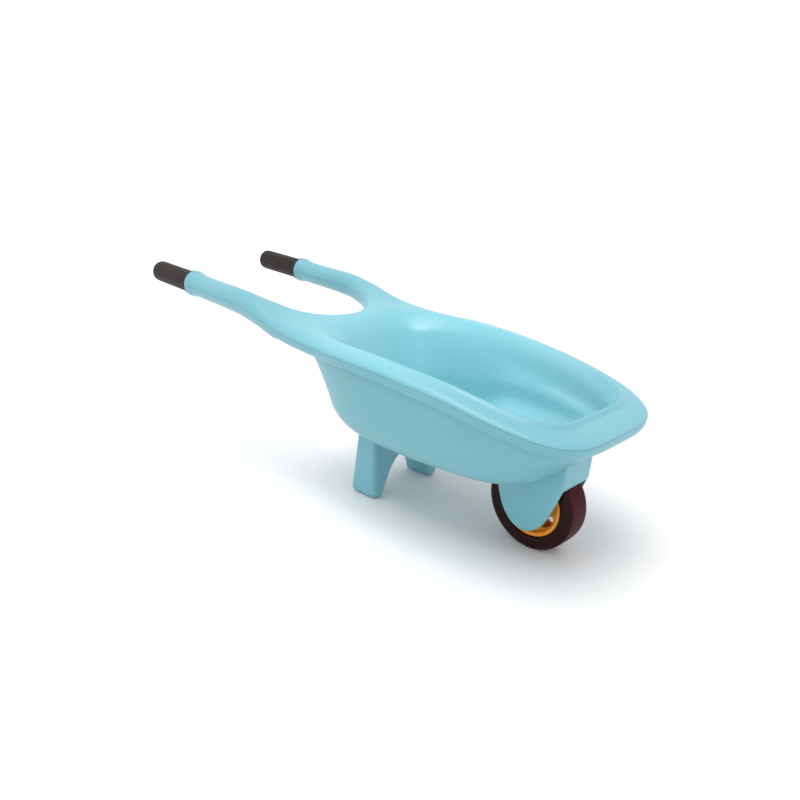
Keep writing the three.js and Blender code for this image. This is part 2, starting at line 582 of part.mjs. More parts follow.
SHELL_SCREWS.forEach(([x, y], i) => {
  const seat = underside(x, y) + RECESS - GAP;
  const length = overTop(x, y) - WALL / 2 - 3 - seat;
  const fastener = piece(barrow, `shell_screw_${i + 1}`, screw(length).rotateX(Math.PI), COLOURS.steel);
  fastener.position.set(x, y, seat);
});
FORK_SCREWS.forEach(([x, y], i) => {
  const seat = WELL.top - FORK.roof - 2 * GAP;
  piece(barrow, `fork_screw_${i + 1}`, screw(7.5).rotateX(Math.PI), COLOURS.steel).position.set(x, y, seat);
});
STAND_SCREWS.forEach(([x, y], i) => {
  const fastener = piece(barrow, `stand_screw_${i + 1}`, screw(PAD_Z - HULL_Z + 14), COLOURS.steel);
  fastener.position.set(x, y, PAD_Z + GAP);
});

for (const [name, y] of [["grip_right", -HANDLE_Y], ["grip_left", HANDLE_Y]]) {
  const sleeve = piece(barrow, name, grip(), COLOURS.grip);
  sleeve.position.set(COLLAR.x - 2 * GAP, y, seam(COLLAR.x));
  sleeve.rotation.set(0, GRIP_SLOPE, Math.PI / 2, "YXZ");
}

const wheel = new THREE.Group();
wheel.position.set(WHEEL.x, 0, WHEEL.r);
const rod = turned([[0, -AXLE.half], [AXLE.r, -AXLE.half], [AXLE.r, AXLE.half], [0, AXLE.half]], 24);
piece(barrow, "axle", rod, COLOURS.steel).position.copy(wheel.position);
for (const [name, way] of [["spacer_right", -1], ["spacer_left", 1]]) {
  const [from, to] = [HUB.half + GAP, FORK.inner - GAP].map((y) => way * y).sort((a, b) => a - b);
  const ring = turned([[HUB.bore, from], [HUB.r, from], [HUB.r, to], [HUB.bore, to], [HUB.bore, from]], 24);
  piece(barrow, name, ring, COLOURS.bush).position.copy(wheel.position);
}
piece(wheel, "tyre", tyre(), COLOURS.tyre);
piece(wheel, "rim_left", rimHalf(false), COLOURS.rim);
piece(wheel, "rim_right", rimHalf(true), COLOURS.rim).rotation.x = Math.PI;
piece(wheel, "hub_tube", turned([[HUB.bore, -HUB.half], [HUB.r, -HUB.half], [HUB.r, HUB.half],
  [HUB.bore, HUB.half], [HUB.bore, -HUB.half]], 24), COLOURS.steel);
RIM_SCREWS.forEach(([x, z], i) => {
  const fastener = piece(wheel, `rim_screw_${i + 1}`, screw(14).rotateX(-Math.PI / 2), COLOURS.steel);
  fastener.position.set(x, 11, z);
});
barrow.add(wheel);

export default barrow;
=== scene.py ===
"""A child's moulded plastic wheelbarrow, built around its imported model.

The body is two thin shells that meet along one seam. Their shapes are functions of two numbers:
how far round the body a point is, and how far in from the seam. The stand and the fork are
outlines carried across the barrow with rounded edges, and everything round is a turned profile.
Lengths inside the shape functions are millimetres, and a mesh is scaled to metres as it is made.
"""
import math

import bmesh
import bpy
import numpy as np
from mathutils import Matrix, Vector


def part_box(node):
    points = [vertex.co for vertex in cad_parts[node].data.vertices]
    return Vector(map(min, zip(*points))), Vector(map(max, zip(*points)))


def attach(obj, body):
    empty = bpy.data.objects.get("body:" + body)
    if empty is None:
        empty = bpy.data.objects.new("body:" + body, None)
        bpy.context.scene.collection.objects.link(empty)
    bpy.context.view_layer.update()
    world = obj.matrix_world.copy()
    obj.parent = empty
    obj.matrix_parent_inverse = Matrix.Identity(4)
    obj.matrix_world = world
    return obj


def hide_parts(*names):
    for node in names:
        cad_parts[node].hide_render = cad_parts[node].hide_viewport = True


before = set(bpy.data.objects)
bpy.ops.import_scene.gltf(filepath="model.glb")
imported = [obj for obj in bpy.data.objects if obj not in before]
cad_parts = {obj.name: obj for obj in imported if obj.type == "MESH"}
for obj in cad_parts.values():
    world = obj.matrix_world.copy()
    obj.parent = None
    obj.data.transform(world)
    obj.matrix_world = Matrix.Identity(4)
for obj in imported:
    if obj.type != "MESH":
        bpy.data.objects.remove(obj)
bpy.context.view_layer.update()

bl_info = {
    "name": "Toy wheelbarrow",
    "version": (1, 0, 0),
    "blender": (4, 5, 0),
    "location": "View3D > Sidebar > Barrow",
    "description": "Makes a child's plastic wheelbarrow, piece by piece",
    "category": "Add Mesh",
}

MM = 0.001
BODY, WHEEL_BODY = "barrow", "wheel"


def box_mm(node):
    """The lowest and highest corners of a node of the frame, in millimetres."""
    low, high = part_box(node)
    return np.array(low) / MM, np.array(high) / MM


# ---------------------------------------------------------------- sizes taken from the frame
TYRE_LOW, TYRE_HIGH = box_mm("tyre")
WHEEL_CENTRE = (TYRE_LOW + TYRE_HIGH) / 2
WHEEL_R = (TYRE_HIGH[2] - TYRE_LOW[2]) / 2
SHELL_HIGH = box_mm("tub_upper_shell")[1]
GRIP_LOW = box_mm("grip_left")[0]
FORK_LOW, FORK_HIGH = box_mm("wheel_fork")
STAND_LOW, STAND_HIGH = box_mm("leg_stand")

# ---------------------------------------------------------------- driving dimensions
NOSE = 380.0  # front of the rim, on the scale that the body's outlines are drawn in
SHIFT = SHELL_HIGH[0] - NOSE  # from that scale to the frame's own origin
GAP = 0.3
HANDLE_Y, HANDLE_R = 99.0, 16.2
ROOT_X, CROTCH_X, CROTCH_LENGTH = -110.0, -150.0, 112.0
CROTCH_HALF = HANDLE_Y - HANDLE_R
COLLAR_X, COLLAR_R = -267.0, 18.6
STUB_R, STUB_END = 12.0, -358.0
GRIP_BACK = GRIP_LOW[0] - SHIFT
TUB_MID = 200.0
RIM_WIDTH, RIM_NOSE, RIM_BACK, RIM_RISE, RIM_SQUARE = 19.0, 25.0, -24.0, 12.0, 5.0
BAND_INSET, BAND_DROP, BAND_BACK = 6.0, 12.5, -16.0
FLOOR_Z, HULL_Z = 104.0, 87.0
WELL_HALF, WELL_BACK, WELL_TOP = 28.0, 229.0, 120.0
FORK_PLATE, FORK_LEAN, FORK_WALL, FORK_ROOF, FORK_ROUND = 4.3, 2.5, 3.0, 3.2, 4.0
WHEEL_ROOM = 1.5  # air between the tyre and the fork
STAND_SPRING, STAND_CROWN, STAND_RAKE, STAND_ROUND = 44.0, 54.0, 15.0, 6.8
GROOVE_DEPTH = 2.2  # how far the ledge under the rim's band rises
WINDOW_IN, WINDOW_OUT, WINDOW_HALF, WINDOW_FIRST = 14.8, 33.0, 23.5, -40.0  # radii and degrees
WEB_STEPS = 24
SCREW_HEAD = 2.4
VIEW_AZIMUTH, VIEW_ELEVATION, VIEW_ROLL = 45.02, 18.82, 0.39  # degrees
VIEW_TARGET, VIEW_DISTANCE, VIEW_LENS = (0.0591, 0.0, 0.1210), 0.9528, 32.51


class BarrowSizes(bpy.types.PropertyGroup):
    """Lengths that a user may change without touching the shape functions."""

    wall: bpy.props.FloatProperty(
        name="Wall", description="Thickness of the two moulded shells", default=2.6 * MM,
        min=1.5 * MM, max=3.5 * MM, unit="LENGTH")
    seam_edge: bpy.props.FloatProperty(
        name="Seam edge", description="Rounding of the shells' edges along the seam", default=0.7 * MM,
        min=0.1 * MM, max=1.0 * MM, unit="LENGTH")
    rib_depth: bpy.props.FloatProperty(
        name="Rib depth", description="Depth of the flutes in the grips", default=1.3 * MM,
        min=0.0, max=2.0 * MM, unit="LENGTH")
    ribs: bpy.props.IntProperty(
        name="Ribs", description="Number of flutes round each grip", default=18, min=8, max=32)
    spokes: bpy.props.IntProperty(
        name="Spokes", description="Number of windows in the rim", default=5, min=3, max=8)


class BarrowColours(bpy.types.PropertyGroup):
    """Base colours of the finishes, as linear light."""

    body: bpy.props.FloatVectorProperty(
        name="Body", description="Plastic of the shells, the stand and the fork", subtype="COLOR", size=3,
        default=(0.168, 0.420, 0.490), min=0, max=1)
    grip: bpy.props.FloatVectorProperty(
        name="Grip", description="Rubber of the grips", subtype="COLOR", size=3,
        default=(0.013, 0.007, 0.006), min=0, max=1)
    tyre: bpy.props.FloatVectorProperty(
        name="Tyre", description="Rubber of the tyre", subtype="COLOR", size=3,
        default=(0.018, 0.003, 0.004), min=0, max=1)
    rim: bpy.props.FloatVectorProperty(
        name="Rim", description="Plastic of the rim", subtype="COLOR", size=3,
        default=(0.86, 0.30, 0.015), min=0, max=1)
    floor: bpy.props.FloatVectorProperty(
        name="Floor", description="Studio floor", subtype="COLOR", size=3,
        default=(0.80, 0.80, 0.80), min=0, max=1)


# ---------------------------------------------------------------- small maths
def through(*pairs):
    """A smooth function through (x, value) pairs, straight beyond both ends.

    Each span is a cubic whose end slopes are the harmonic mean of the neighbouring chords, or
    level where the chords turn back, so the curve never swings past its points."""
    knots, values = np.array(pairs, float).T
    gaps = np.diff(knots)
    chords = np.diff(values) / gaps
    a, b = chords[:-1], chords[1:]
    turning = a * b <= 0
    middle = np.where(turning, 0.0, 2 * a * b / np.where(turning, 1.0, a + b))
    slopes = np.concatenate(([chords[0]], middle, [chords[-1]]))

    def curve(x):
        x = np.asarray(x, float)
        i = np.clip(np.searchsorted(knots, x, side="right") - 1, 0, len(gaps) - 1)
        t = (x - knots[i]) / gaps[i]
        inside = (values[i] * (1 + 2 * t) * (1 - t) ** 2 + values[i + 1] * t * t * (3 - 2 * t)
                  + gaps[i] * (slopes[i] * t * (1 - t) ** 2 - slopes[i + 1] * t * t * (1 - t)))
        before = values[0] + slopes[0] * (x - knots[0])
        after = values[-1] + slopes[-1] * (x - knots[-1])
        return np.where(x < knots[0], before, np.where(x > knots[-1], after, inside))

    return curve


def mix(a, b, t):
    """The value a share t of the way from a to b."""
    return a + (b - a) * t


def power(v, p):
    """v to the power p, keeping v's sign."""
    return np.sign(v) * np.abs(v) ** p


def spread(*stretches):
    """Values along joined stretches of (start, end, count), each start kept and each end left to the next."""
    parts = [np.linspace(a, b, n, endpoint=False) for a, b, n in stretches]
    return np.concatenate(parts + [[stretches[-1][1]]])


def flowing(rows, samples, first=0):
    """Rows of points joined by smooth cubics across the rows.

    Rows are placed along the way by their mean distance apart, and the slope at a row is that of the
    parabola through it and its neighbours. samples are shares, from 0 to 1, of the way from the row
    numbered first to the last one."""
    rows = np.asarray(rows, float)
    steps = np.linalg.norm(np.diff(rows, axis=0), axis=2).mean(axis=1)
    at = np.concatenate(([0.0], np.cumsum(steps))) / steps.sum()
    samples = mix(at[first], 1.0, samples)
    gaps = np.diff(at)[:, None, None]
    chords = np.diff(rows, axis=0) / gaps
    inner = (chords[:-1] * gaps[1:] + chords[1:] * gaps[:-1]) / (gaps[:-1] + gaps[1:])
    slopes = np.concatenate((chords[:1], inner, chords[-1:]))
    i = np.clip(np.searchsorted(at, samples, side="right") - 1, 0, len(gaps) - 1)
    t = ((samples - at[i]) / gaps[i, 0, 0])[:, None, None]
    return (rows[i] * (1 + 2 * t) * (1 - t) ** 2 + rows[i + 1] * t * t * (3 - 2 * t)
            + gaps[i] * (slopes[i] * t * (1 - t) ** 2 - slopes[i + 1] * t * t * (1 - t)))


# ---------------------------------------------------------------- outlines of the body
# Height of the seam between the shells, which is level across the body.
seam = through(
    (-NOSE, 253), (COLLAR_X, 245.2), (-213, 240.5), (-161, 237), (-137, 235), (-113, 231), (-91, 226),
    (-69, 220), (-47, 215), (-26, 211.5), (4, 208.5), (50, 206), (100, 205), (200, 197), (300, 180),
    (NOSE, 160.5))
# Outer edge of the handles and of the tub's sides, and of the tub's sides alone.
side_edge = through(
    (-NOSE, HANDLE_Y + HANDLE_R), (ROOT_X - 50, HANDLE_Y + HANDLE_R), (ROOT_X, 115.6), (-30, 117),
    (30, 120), (94, 125.8), (161, 125), (222, 121), (300, 116), (NOSE, 110))
tub_edge = through((-40, 118), (30, 123), (94, 125.8), (161, 125), (222, 121), (300, 116), (NOSE, 110))
# How far the shells rise above the seam and drop below it, and over what width.
rise = through((-300, HANDLE_R), (-160, HANDLE_R), (-100, 15), (-60, RIM_RISE + 1), (0, RIM_RISE))
drop = through((-300, HANDLE_R), (-200, HANDLE_R), (-147, 18), (-110, 21), (-70, 21), (-37, 18.5), (0, 17))
outer_width = through((-300, HANDLE_R), (-160, HANDLE_R), (ROOT_X, 20.5), (-50, RIM_WIDTH),
                      (200, RIM_WIDTH), (360, RIM_NOSE - 1))
inner_width = through((-300, HANDLE_R), (-160, HANDLE_R), (ROOT_X, 17.5), (-50, 17), (0, 17))
# The basin's floor is level, and steps up over the wheel well.
floor_level = through((60, FLOOR_Z), (130, FLOOR_Z), (200, 129.5), (260, 130), (350, 130))
GRIP_SLOPE = math.atan2(float(seam(STUB_END) - seam(COLLAR_X)), COLLAR_X - STUB_END)

# Half of the way round the body is s, from 0 at the nose to 1 at the back of the crotch.
SIDE_S, ROOT_S, BACK_S = 0.5, 0.7, 0.8
ROOT_STEPS = 30
ROUND = spread((0, SIDE_S, 64), (SIDE_S, ROOT_S, 56), (ROOT_S, BACK_S, ROOT_STEPS), (BACK_S, 1, 36))
AT_SEAM = (ROUND <= ROOT_S + 1e-9) | (ROUND >= BACK_S - 1e-9)


def crotch_edge(x):
    """Half the gap between the handles: a quarter ellipse from full width down to nothing."""
    u = np.clip((x - CROTCH_X) / CROTCH_LENGTH, 0, 1)
    return CROTCH_HALF * np.sqrt(1 - u * u)


def outer_line(s):
    """The seam's line in plan: a squared-off ellipse at the nose, the side's own curve, a half circle
    across the handle's root, and an ellipse round the crotch."""
    nose_x = TUB_MID + (NOSE - TUB_MID) * np.sqrt(np.abs(np.cos(np.pi * s)))
    side_x = mix(TUB_MID, ROOT_X, (s - SIDE_S) / (ROOT_S - SIDE_S))
    out, inn = side_edge(ROOT_X), crotch_edge(ROOT_X)
    turn = np.pi * (s - ROOT_S) / (BACK_S - ROOT_S)
    angle = math.acos((ROOT_X - CROTCH_X) / CROTCH_LENGTH) * (1 - (s - BACK_S) / (1 - BACK_S))
    where = [s <= SIDE_S, s <= ROOT_S, s <= BACK_S]
    x = np.select(where, [nose_x, side_x, ROOT_X + 0 * s], CROTCH_X + CROTCH_LENGTH * np.cos(angle))
    y = np.select(where, [side_edge(nose_x) * np.sqrt(np.abs(np.sin(np.pi * s))), side_edge(side_x),
                          (out + inn) / 2 + (out - inn) / 2 * np.cos(turn)], CROTCH_HALF * np.sin(angle))
    return x, y


def tub_ring(s, rear, nose, inset, square=4.0):
    """A rounded box in plan round the tub alone, between a rear and a nose, inset from its sides."""
    c, sn = np.cos(np.pi * s), np.abs(np.sin(np.pi * s))
    x = TUB_MID + np.where(c >= 0, nose - TUB_MID, TUB_MID - rear) * power(c, 2 / square)
    return x, (tub_edge(x) - inset) * sn ** (2 / square)


def distance(line, x, y):
    """Distance in plan from each point to a line of many short straight pieces."""
    a, b = line[:-1], line[1:]
    d = b - a
    points = np.stack((np.ravel(x), np.ravel(y)), 1)[:, None]
    t = np.clip(((points - a) * d).sum(2) / (d * d).sum(1), 0, 1)
    return np.sqrt((((a + t[..., None] * d) - points) ** 2).sum(2).min(1)).reshape(np.shape(x))


SIDE_LINE = np.concatenate((np.stack(outer_line(np.linspace(0, SIDE_S, 240, endpoint=False)), 1),
                            [(x, side_edge(x)) for x in np.arange(TUB_MID, -NOSE, -4)]))
CROTCH_LINE = np.concatenate((np.stack(outer_line(np.linspace(1, BACK_S, 60, endpoint=False)), 1),
                              [(x, crotch_edge(x)) for x in np.arange(ROOT_X, -NOSE, -4)]))


def fullness(x, y):
    """Share of the full section, 0 on the outline and 1 away from it: a quarter circle across each
    edge, and where two edges are near, the square root of 1 less the squares of both."""
    outer = np.clip(1 - distance(SIDE_LINE, x, y) / outer_width(x), 0, 1)
    inner = np.clip(1 - distance(CROTCH_LINE, x, y) / inner_width(x), 0, 1)
    return np.sqrt(np.clip(1 - outer**2 - inner**2, 0, 1))


def over_top(x, y):
    """Height of the upper shell's outside over a plan point of the rim, the deck or a handle."""
    return seam(x) + GAP / 2 + rise(x) * fullness(x, y)


def underside(x, y):
    """Height of the lower shell's outside under a plan point of the deck or a handle."""
    return seam(x) - GAP / 2 - drop(x) * fullness(x, y)


# ---------------------------------------------------------------- meshes
def quads(rows, columns, first=0):
    """Faces of a grid whose points are numbered row by row from first."""
    a = first + np.arange(rows - 1)[:, None] * columns + np.arange(columns - 1)[None]
    return np.stack((a, a + 1, a + columns + 1, a + columns), 2).reshape(-1, 4)


def make_mesh(name, grids, caps=(), weld=0.004, mirror=False):
    """One mesh object from grids of points in millimetres, each an array of rows by columns by 3, and caps,
    which are closed loops of points. Points nearer than weld are merged, so seams and poles close."""
    points, faces, first = [], [], 0
    for grid in grids:
        flat = grid.reshape(-1, 3)
        cells = quads(grid.shape[0], grid.shape[1], first)
        points.append(flat), faces.extend(cells.tolist())
        first += len(flat)
        if mirror:
            points.append(flat * (1, -1, 1)), faces.extend((cells[:, ::-1] + len(flat)).tolist())
            first += len(flat)
    for loop in caps:
        points.append(loop), faces.append(list(range(first, first + len(loop))))
        first += len(loop)
    mesh = bpy.data.meshes.new(name)
    mesh.from_pydata(np.concatenate(points) * MM, [], faces)
    work = bmesh.new()
    work.from_mesh(mesh)
    bmesh.ops.remove_doubles(work, verts=work.verts, dist=weld * MM)
    bmesh.ops.dissolve_degenerate(work, edges=work.edges, dist=1e-7)
    bmesh.ops.recalc_face_normals(work, faces=work.faces)
    work.to_mesh(mesh)
    work.free()
    piece = bpy.data.objects.new(name, mesh)
    bpy.context.scene.collection.objects.link(piece)
    mesh.shade_smooth()
    return piece


def add_modifier(piece, kind, **settings):
    """Adds a modifier with the given settings."""
    modifier = piece.modifiers.new(kind.title(), kind)
    for key, value in settings.items():
        setattr(modifier, key, value)
    return modifier


def soften(piece, width, angle=40, segments=3):
    """Rounds the sharp edges of a piece, and keeps its flat faces flat."""
    add_modifier(piece, "BEVEL", width=width, segments=segments, limit_method="ANGLE",
                 angle_limit=math.radians(angle), harden_normals=True, miter_outer="MITER_ARC")


def settle(piece):
    """Applies the modifiers of a piece to its mesh."""
    graph = bpy.context.evaluated_depsgraph_get()
    graph.update()
    old = piece.data
    piece.data = bpy.data.meshes.new_from_object(piece.evaluated_get(graph))
    piece.modifiers.clear()
    bpy.data.meshes.remove(old)


def carve(piece, tool, operation="DIFFERENCE"):
    """Cuts a closed piece by another, or joins or overlaps the two, and removes the tool."""
    add_modifier(piece, "BOOLEAN", object=tool, operation=operation, solver="EXACT")
    settle(piece)
    bpy.data.objects.remove(tool)


def turned(profile, centre, axis="Y", steps=96, shape=None):
    """A grid of a profile of (radius, place along the axis) points turned round an axis through centre.

    shape, if given, changes the radii from the turn's angle and the grid of places."""
    profile = np.asarray(profile, float)
    turn = np.linspace(0, 2 * np.pi, steps + 1)[:, None]
    radius = np.repeat(profile[None, :, 0], steps + 1, axis=0)
    along = np.repeat(profile[None, :, 1], steps + 1, axis=0)
    if shape:
        radius, along = shape(turn, radius, along)
    a, b = radius * np.cos(turn), radius * np.sin(turn)
    order = {"X": (along, a, b), "Y": (a, along, b), "Z": (a, b, along)}[axis]
    return np.stack(order, 2) + np.asarray(centre, float)


def rounded(points, radii, steps=8):
    """A closed outline with a round corner at each point: the arc that touches both sides of it."""
    points = np.asarray(points, float)
    radii = np.broadcast_to(np.asarray(radii, float), len(points))
    to_last = np.roll(points, 1, axis=0) - points
    to_next = np.roll(points, -1, axis=0) - points
    to_last /= np.linalg.norm(to_last, axis=1)[:, None]
    to_next /= np.linalg.norm(to_next, axis=1)[:, None]
    half = np.arccos(np.clip((to_last * to_next).sum(1), -1, 1)) / 2
    reach = (radii / np.tan(half))[:, None]
    middle = to_last + to_next
    middle /= np.maximum(np.linalg.norm(middle, axis=1), 1e-9)[:, None]
    centre = points + middle * (radii / np.sin(half))[:, None]
    start, end = points + to_last * reach - centre, points + to_next * reach - centre
    t = np.linspace(0, 1, steps + 1)[None, :, None]
    sweep = (np.pi - 2 * half)[:, None, None]
    arc = (np.sin((1 - t) * sweep) * start[:, None] + np.sin(t * sweep) * end[:, None]) / np.sin(sweep)
    arc = np.where(np.abs(np.sin(sweep)) < 1e-6, mix(start[:, None], end[:, None], t), arc)
    return (centre[:, None] + arc).reshape(-1, 2)


def evenly(outline, spacing):
    """A closed outline walked again in equal steps of about the given spacing."""
    closed = np.concatenate((outline, outline[:1]))
    way = np.concatenate(([0.0], np.cumsum(np.linalg.norm(np.diff(closed, axis=0), axis=1))))
    at = np.linspace(0, way[-1], max(8, round(way[-1] / spacing)), endpoint=False)
    return np.stack((np.interp(at, way, closed[:, 0]), np.interp(at, way, closed[:, 1])), 1)


def slab(name, outline, place, near, far, radius, steps=8):
    """A closed outline carried from near to far, with both its edges rounded to a quarter circle.

    Each row is the outline moved inwards by radius times 1 less the sine of the turn, at a depth of
    radius times 1 less its cosine. place(a, b, t) turns outline coordinates and a depth into points."""
    tangent = np.roll(outline, -1, axis=0) - np.roll(outline, 1, axis=0)
    tangent /= np.linalg.norm(tangent, axis=1)[:, None]
    inward = np.stack((-tangent[:, 1], tangent[:, 0]), 1)
    area = np.sum(outline[:, 0] * np.roll(outline[:, 1], -1) - np.roll(outline[:, 0], -1) * outline[:, 1])
    inward *= np.sign(area)
    turn = np.linspace(0, np.pi / 2, steps + 1)
    depth = radius * (1 - np.cos(turn))
    inset = radius * (1 - np.sin(turn))
    inset = np.concatenate((inset, inset[::-1]))
    along = np.concatenate((near + depth, far - depth[::-1]))
    ring = outline[None] + inward[None] * inset[:, None, None]
    grid = place(ring[..., 0], ring[..., 1], along[:, None])
    closed = np.concatenate((grid, grid[:, :1]), axis=1)
    return make_mesh(name, [closed], caps=(grid[0], grid[-1][::-1]))


def crate(name, low, high):
    """A plain box between two corners, used only as a cutting tool."""
    low, high = np.asarray(low, float), np.asarray(high, float)
    corners = np.array([[low[0], low[1]], [high[0], low[1]], [high[0], high[1]], [low[0], high[1]]])
    rings = [np.column_stack((corners, np.full(4, z))) for z in (low[2], high[2])]
    walls = np.stack([np.concatenate((ring, ring[:1])) for ring in rings])
    return make_mesh(name, [walls], caps=(rings[0][::-1], rings[1]))


# ---------------------------------------------------------------- shells
def handle_grid(up):
    """The outside of a handle's upper or lower half, from the stub to the root.

    Behind the root a station is a half ellipse about the handle's line, and from the plain part of the
    handle forwards it is the height of the shell over the handle's full width."""
    sign = 1 if up else -1
    turn = np.pi * np.arange(ROOT_STEPS + 1) / ROOT_STEPS
    collar = [(STUB_END, STUB_R), (COLLAR_X - GAP, STUB_R), (COLLAR_X, COLLAR_R - 0.6),
              (COLLAR_X + 0.6, COLLAR_R)]
    shoulder = through((COLLAR_X + 3.5, COLLAR_R), (COLLAR_X + 9, COLLAR_R - 0.9),
                       (COLLAR_X + 16, HANDLE_R + 0.35), (COLLAR_X + 26, HANDLE_R))
    ring_x = np.array([x for x, _ in collar] + list(np.arange(COLLAR_X + 3.5, COLLAR_X + 27, 1.5)))
    ring_r = np.array([r for _, r in collar] + list(shoulder(ring_x[len(collar):])))
    lift = sign * (GAP / 2 + ring_r[:, None] * np.sin(turn))
    tilt = lift * math.sin(GRIP_SLOPE) * np.where(ring_x < COLLAR_X + 8, 1, 0)[:, None]
    rings = np.stack((ring_x[:, None] + tilt, HANDLE_Y + ring_r[:, None] * np.cos(turn),
                      seam(ring_x)[:, None] + lift), 2)
    x = spread((COLLAR_X + 30, ROOT_X, 46))[:, None]
    out, inn = side_edge(x), crotch_edge(x)
    y = (out + inn) / 2 + (out - inn) / 2 * np.cos(turn)
    z = over_top(x + 0 * y, y) if up else underside(x + 0 * y, y)
    z[:, [0, -1]] = seam(x) + sign * GAP / 2
    return np.concatenate((rings, np.stack((x + 0 * y, y, z), 2)))


def rim_rows():
    """The rolled rim and the deck: rows from the seam to the rim's crest, closer near the seam, at the
    height of the quarter circles across the body's edges."""
    ox, oy = outer_line(ROUND)
    ix, iy = tub_ring(ROUND, RIM_BACK, NOSE - RIM_NOSE, RIM_WIDTH, RIM_SQUARE)
    w = (1 - np.cos(np.linspace(0, np.pi / 2, 27)))[:, None]
    x, y = mix(ox, ix, w), mix(oy, iy, w)
    z = over_top(x, y)
    z[0] = np.where(AT_SEAM, seam(ox) + GAP / 2, z[0])
    return np.stack((x, y, z), 2)


def basin_rings():
    """Rings from the rim's crest down the basin's wall and over its floor, to a pole."""
    def share(x, s):
        return mix(floor_level(x), seam(x) - 12, s)

    rings = [(-12, 350, 24, 4.8, lambda x: seam(x) + 10), (-1, 345.5, 30, 4.5, lambda x: seam(x) + 4.5),
             (9, 342, 36, 4, lambda x: seam(x) - 4), (22, 337, 43, 4, lambda x: seam(x) - 20),
             (44, 328, 53, 4, lambda x: share(x, 0.55)), (61, 319, 61, 3.6, lambda x: share(x, 0.16)),
             (73, 311, 68, 3.4, lambda x: share(x, 0.04)), (100, 290, 84, 3, lambda x: share(x, 0)),
             (130, 250, 98, 2.4, lambda x: share(x, 0))]
    rows = []
    for rear, nose, inset, square, height in rings:
        x, y = tub_ring(ROUND, rear, nose, inset, square)
        rows.append(np.stack((x, y, height(x) + GAP / 2), 1))
    pole = np.array((190, 0, float(floor_level(190)) + GAP / 2))
    return rows + [np.broadcast_to(pole, rows[0].shape)]


def upper_skin():
    """The outside of the upper shell's left half: rim, deck, basin and handle."""
    rim = rim_rows()
    control = [rim[-9], rim[-5], rim[-1]] + basin_rings()
    basin = flowing(control, np.linspace(0, 1, 150), first=2)
    return [np.concatenate((rim, basin[1:])), handle_grid(True)]


def hull_rows():
    """Rows from the seam down the rim's band, in under it, and down the tub's wall to its underside."""
    ox, oy = outer_line(ROUND)
    bx, by = tub_ring(ROUND, BAND_BACK, NOSE - BAND_INSET, BAND_INSET)
    rear = np.where(ROUND > SIDE_S, np.clip((ROUND - SIDE_S) / (ROOT_S - SIDE_S), 0, 1), 0)
    turn = np.linspace(0, np.pi / 2, 15)[:, None]
    w = 1 - np.cos(turn)
    reach = mix(w, w * 0.35, rear)
    x, y = mix(ox, bx, reach), mix(oy, by, reach)
    z = mix(seam(x) - GAP / 2 - BAND_DROP * np.sin(turn), underside(x, y), rear)
    z[0] = np.where(AT_SEAM, seam(ox) - GAP / 2, z[0])
    return np.stack((x, y, z), 2)


# The tub's wall: rear, nose, inset, drop from the seam at the back and at the front, squareness.
HULL_RINGS = [
    (-42, 369, 10.5, -17, -16, 4), (-34, 366, 12, -26, -21, 4), (-23, 356, 15, -42, -31, 4),
    (-11, 341, 20, -66, -42, 4), (-3, 326, 25, -88, -52.5, 4), (8, 311, 32, -103, -62, 3.8),
    (24, 294, 43, -113, -68, 3.4), (45, 272, 59, -117.5, -71, 3), (75, 245, 80, -119, -73, 2.6)]


def hull_rings(s, lift=0.0):
    """The rings of the tub's wall and underside, to a pole under the middle, moved inwards by lift."""
    rows = []
    for k, (rear, nose, inset, back, front, square) in enumerate(HULL_RINGS):
        x, y = tub_ring(s, rear + lift, nose - lift, inset + lift, square)
        share = (seam(50) - seam(np.maximum(50, x))) / (seam(50) - seam(NOSE))
        base = seam(x) if back > -60 else mix(seam(50), seam(NOSE), share)
        z = base + mix(back, front, share)
        if k == 0:
            z = np.minimum(z, underside(x, y) - 1)
        rows.append(np.stack((x, y, z + lift), 1))
    return rows + [np.broadcast_to(np.array((160, 0, HULL_Z + lift)), rows[0].shape)]


def lower_skin():
    """The outside of the lower shell's left half: band, ledge, tub and the handle's underside.

    The ledge between band and tub rises in its middle by half a sine wave, which makes a groove that
    fades out towards the handle's root."""
    band, rings = hull_rows(), hull_rings(ROUND)
    across = np.array((0.03, 0.12, 0.30, 0.50, 0.68, 0.82, 0.92, 0.98))[:, None]
    down = np.array((0.005, 0.025, 0.045, 0.06, 0.09, 0.16, 0.30, 0.60))[:, None]
    edge, top = band[-1], rings[0]
    groove = GROOVE_DEPTH * np.sin(np.pi * across) * np.clip((ROOT_S - ROUND) / 0.12, 0, 1)
    ledge = np.stack((mix(edge[:, 0], top[:, 0], across), mix(edge[:, 1], top[:, 1], across),
                      mix(edge[:, 2], top[:, 2], down) + groove), 2)
    wall = flowing(rings, np.linspace(0, 1, 120))
    return [np.concatenate((band, ledge, wall)), handle_grid(False)]


def hull_block(name, lift):
    """The tub's inside below the band as one closed block, used to trim what passes through the wall."""
    rows = hull_rings(ROUND[::2], lift)
    wall = flowing(rows, np.linspace(0, 1, 70))
    lid = np.broadcast_to((120.0, 0.0, 235.0), rows[0].shape)
    return make_mesh(name, [shifted(np.concatenate((lid[None], wall)))], mirror=True)


def shifted(grid):
    """Points on the outlines' scale moved to the frame's origin."""
    return grid + (SHIFT, 0, 0)


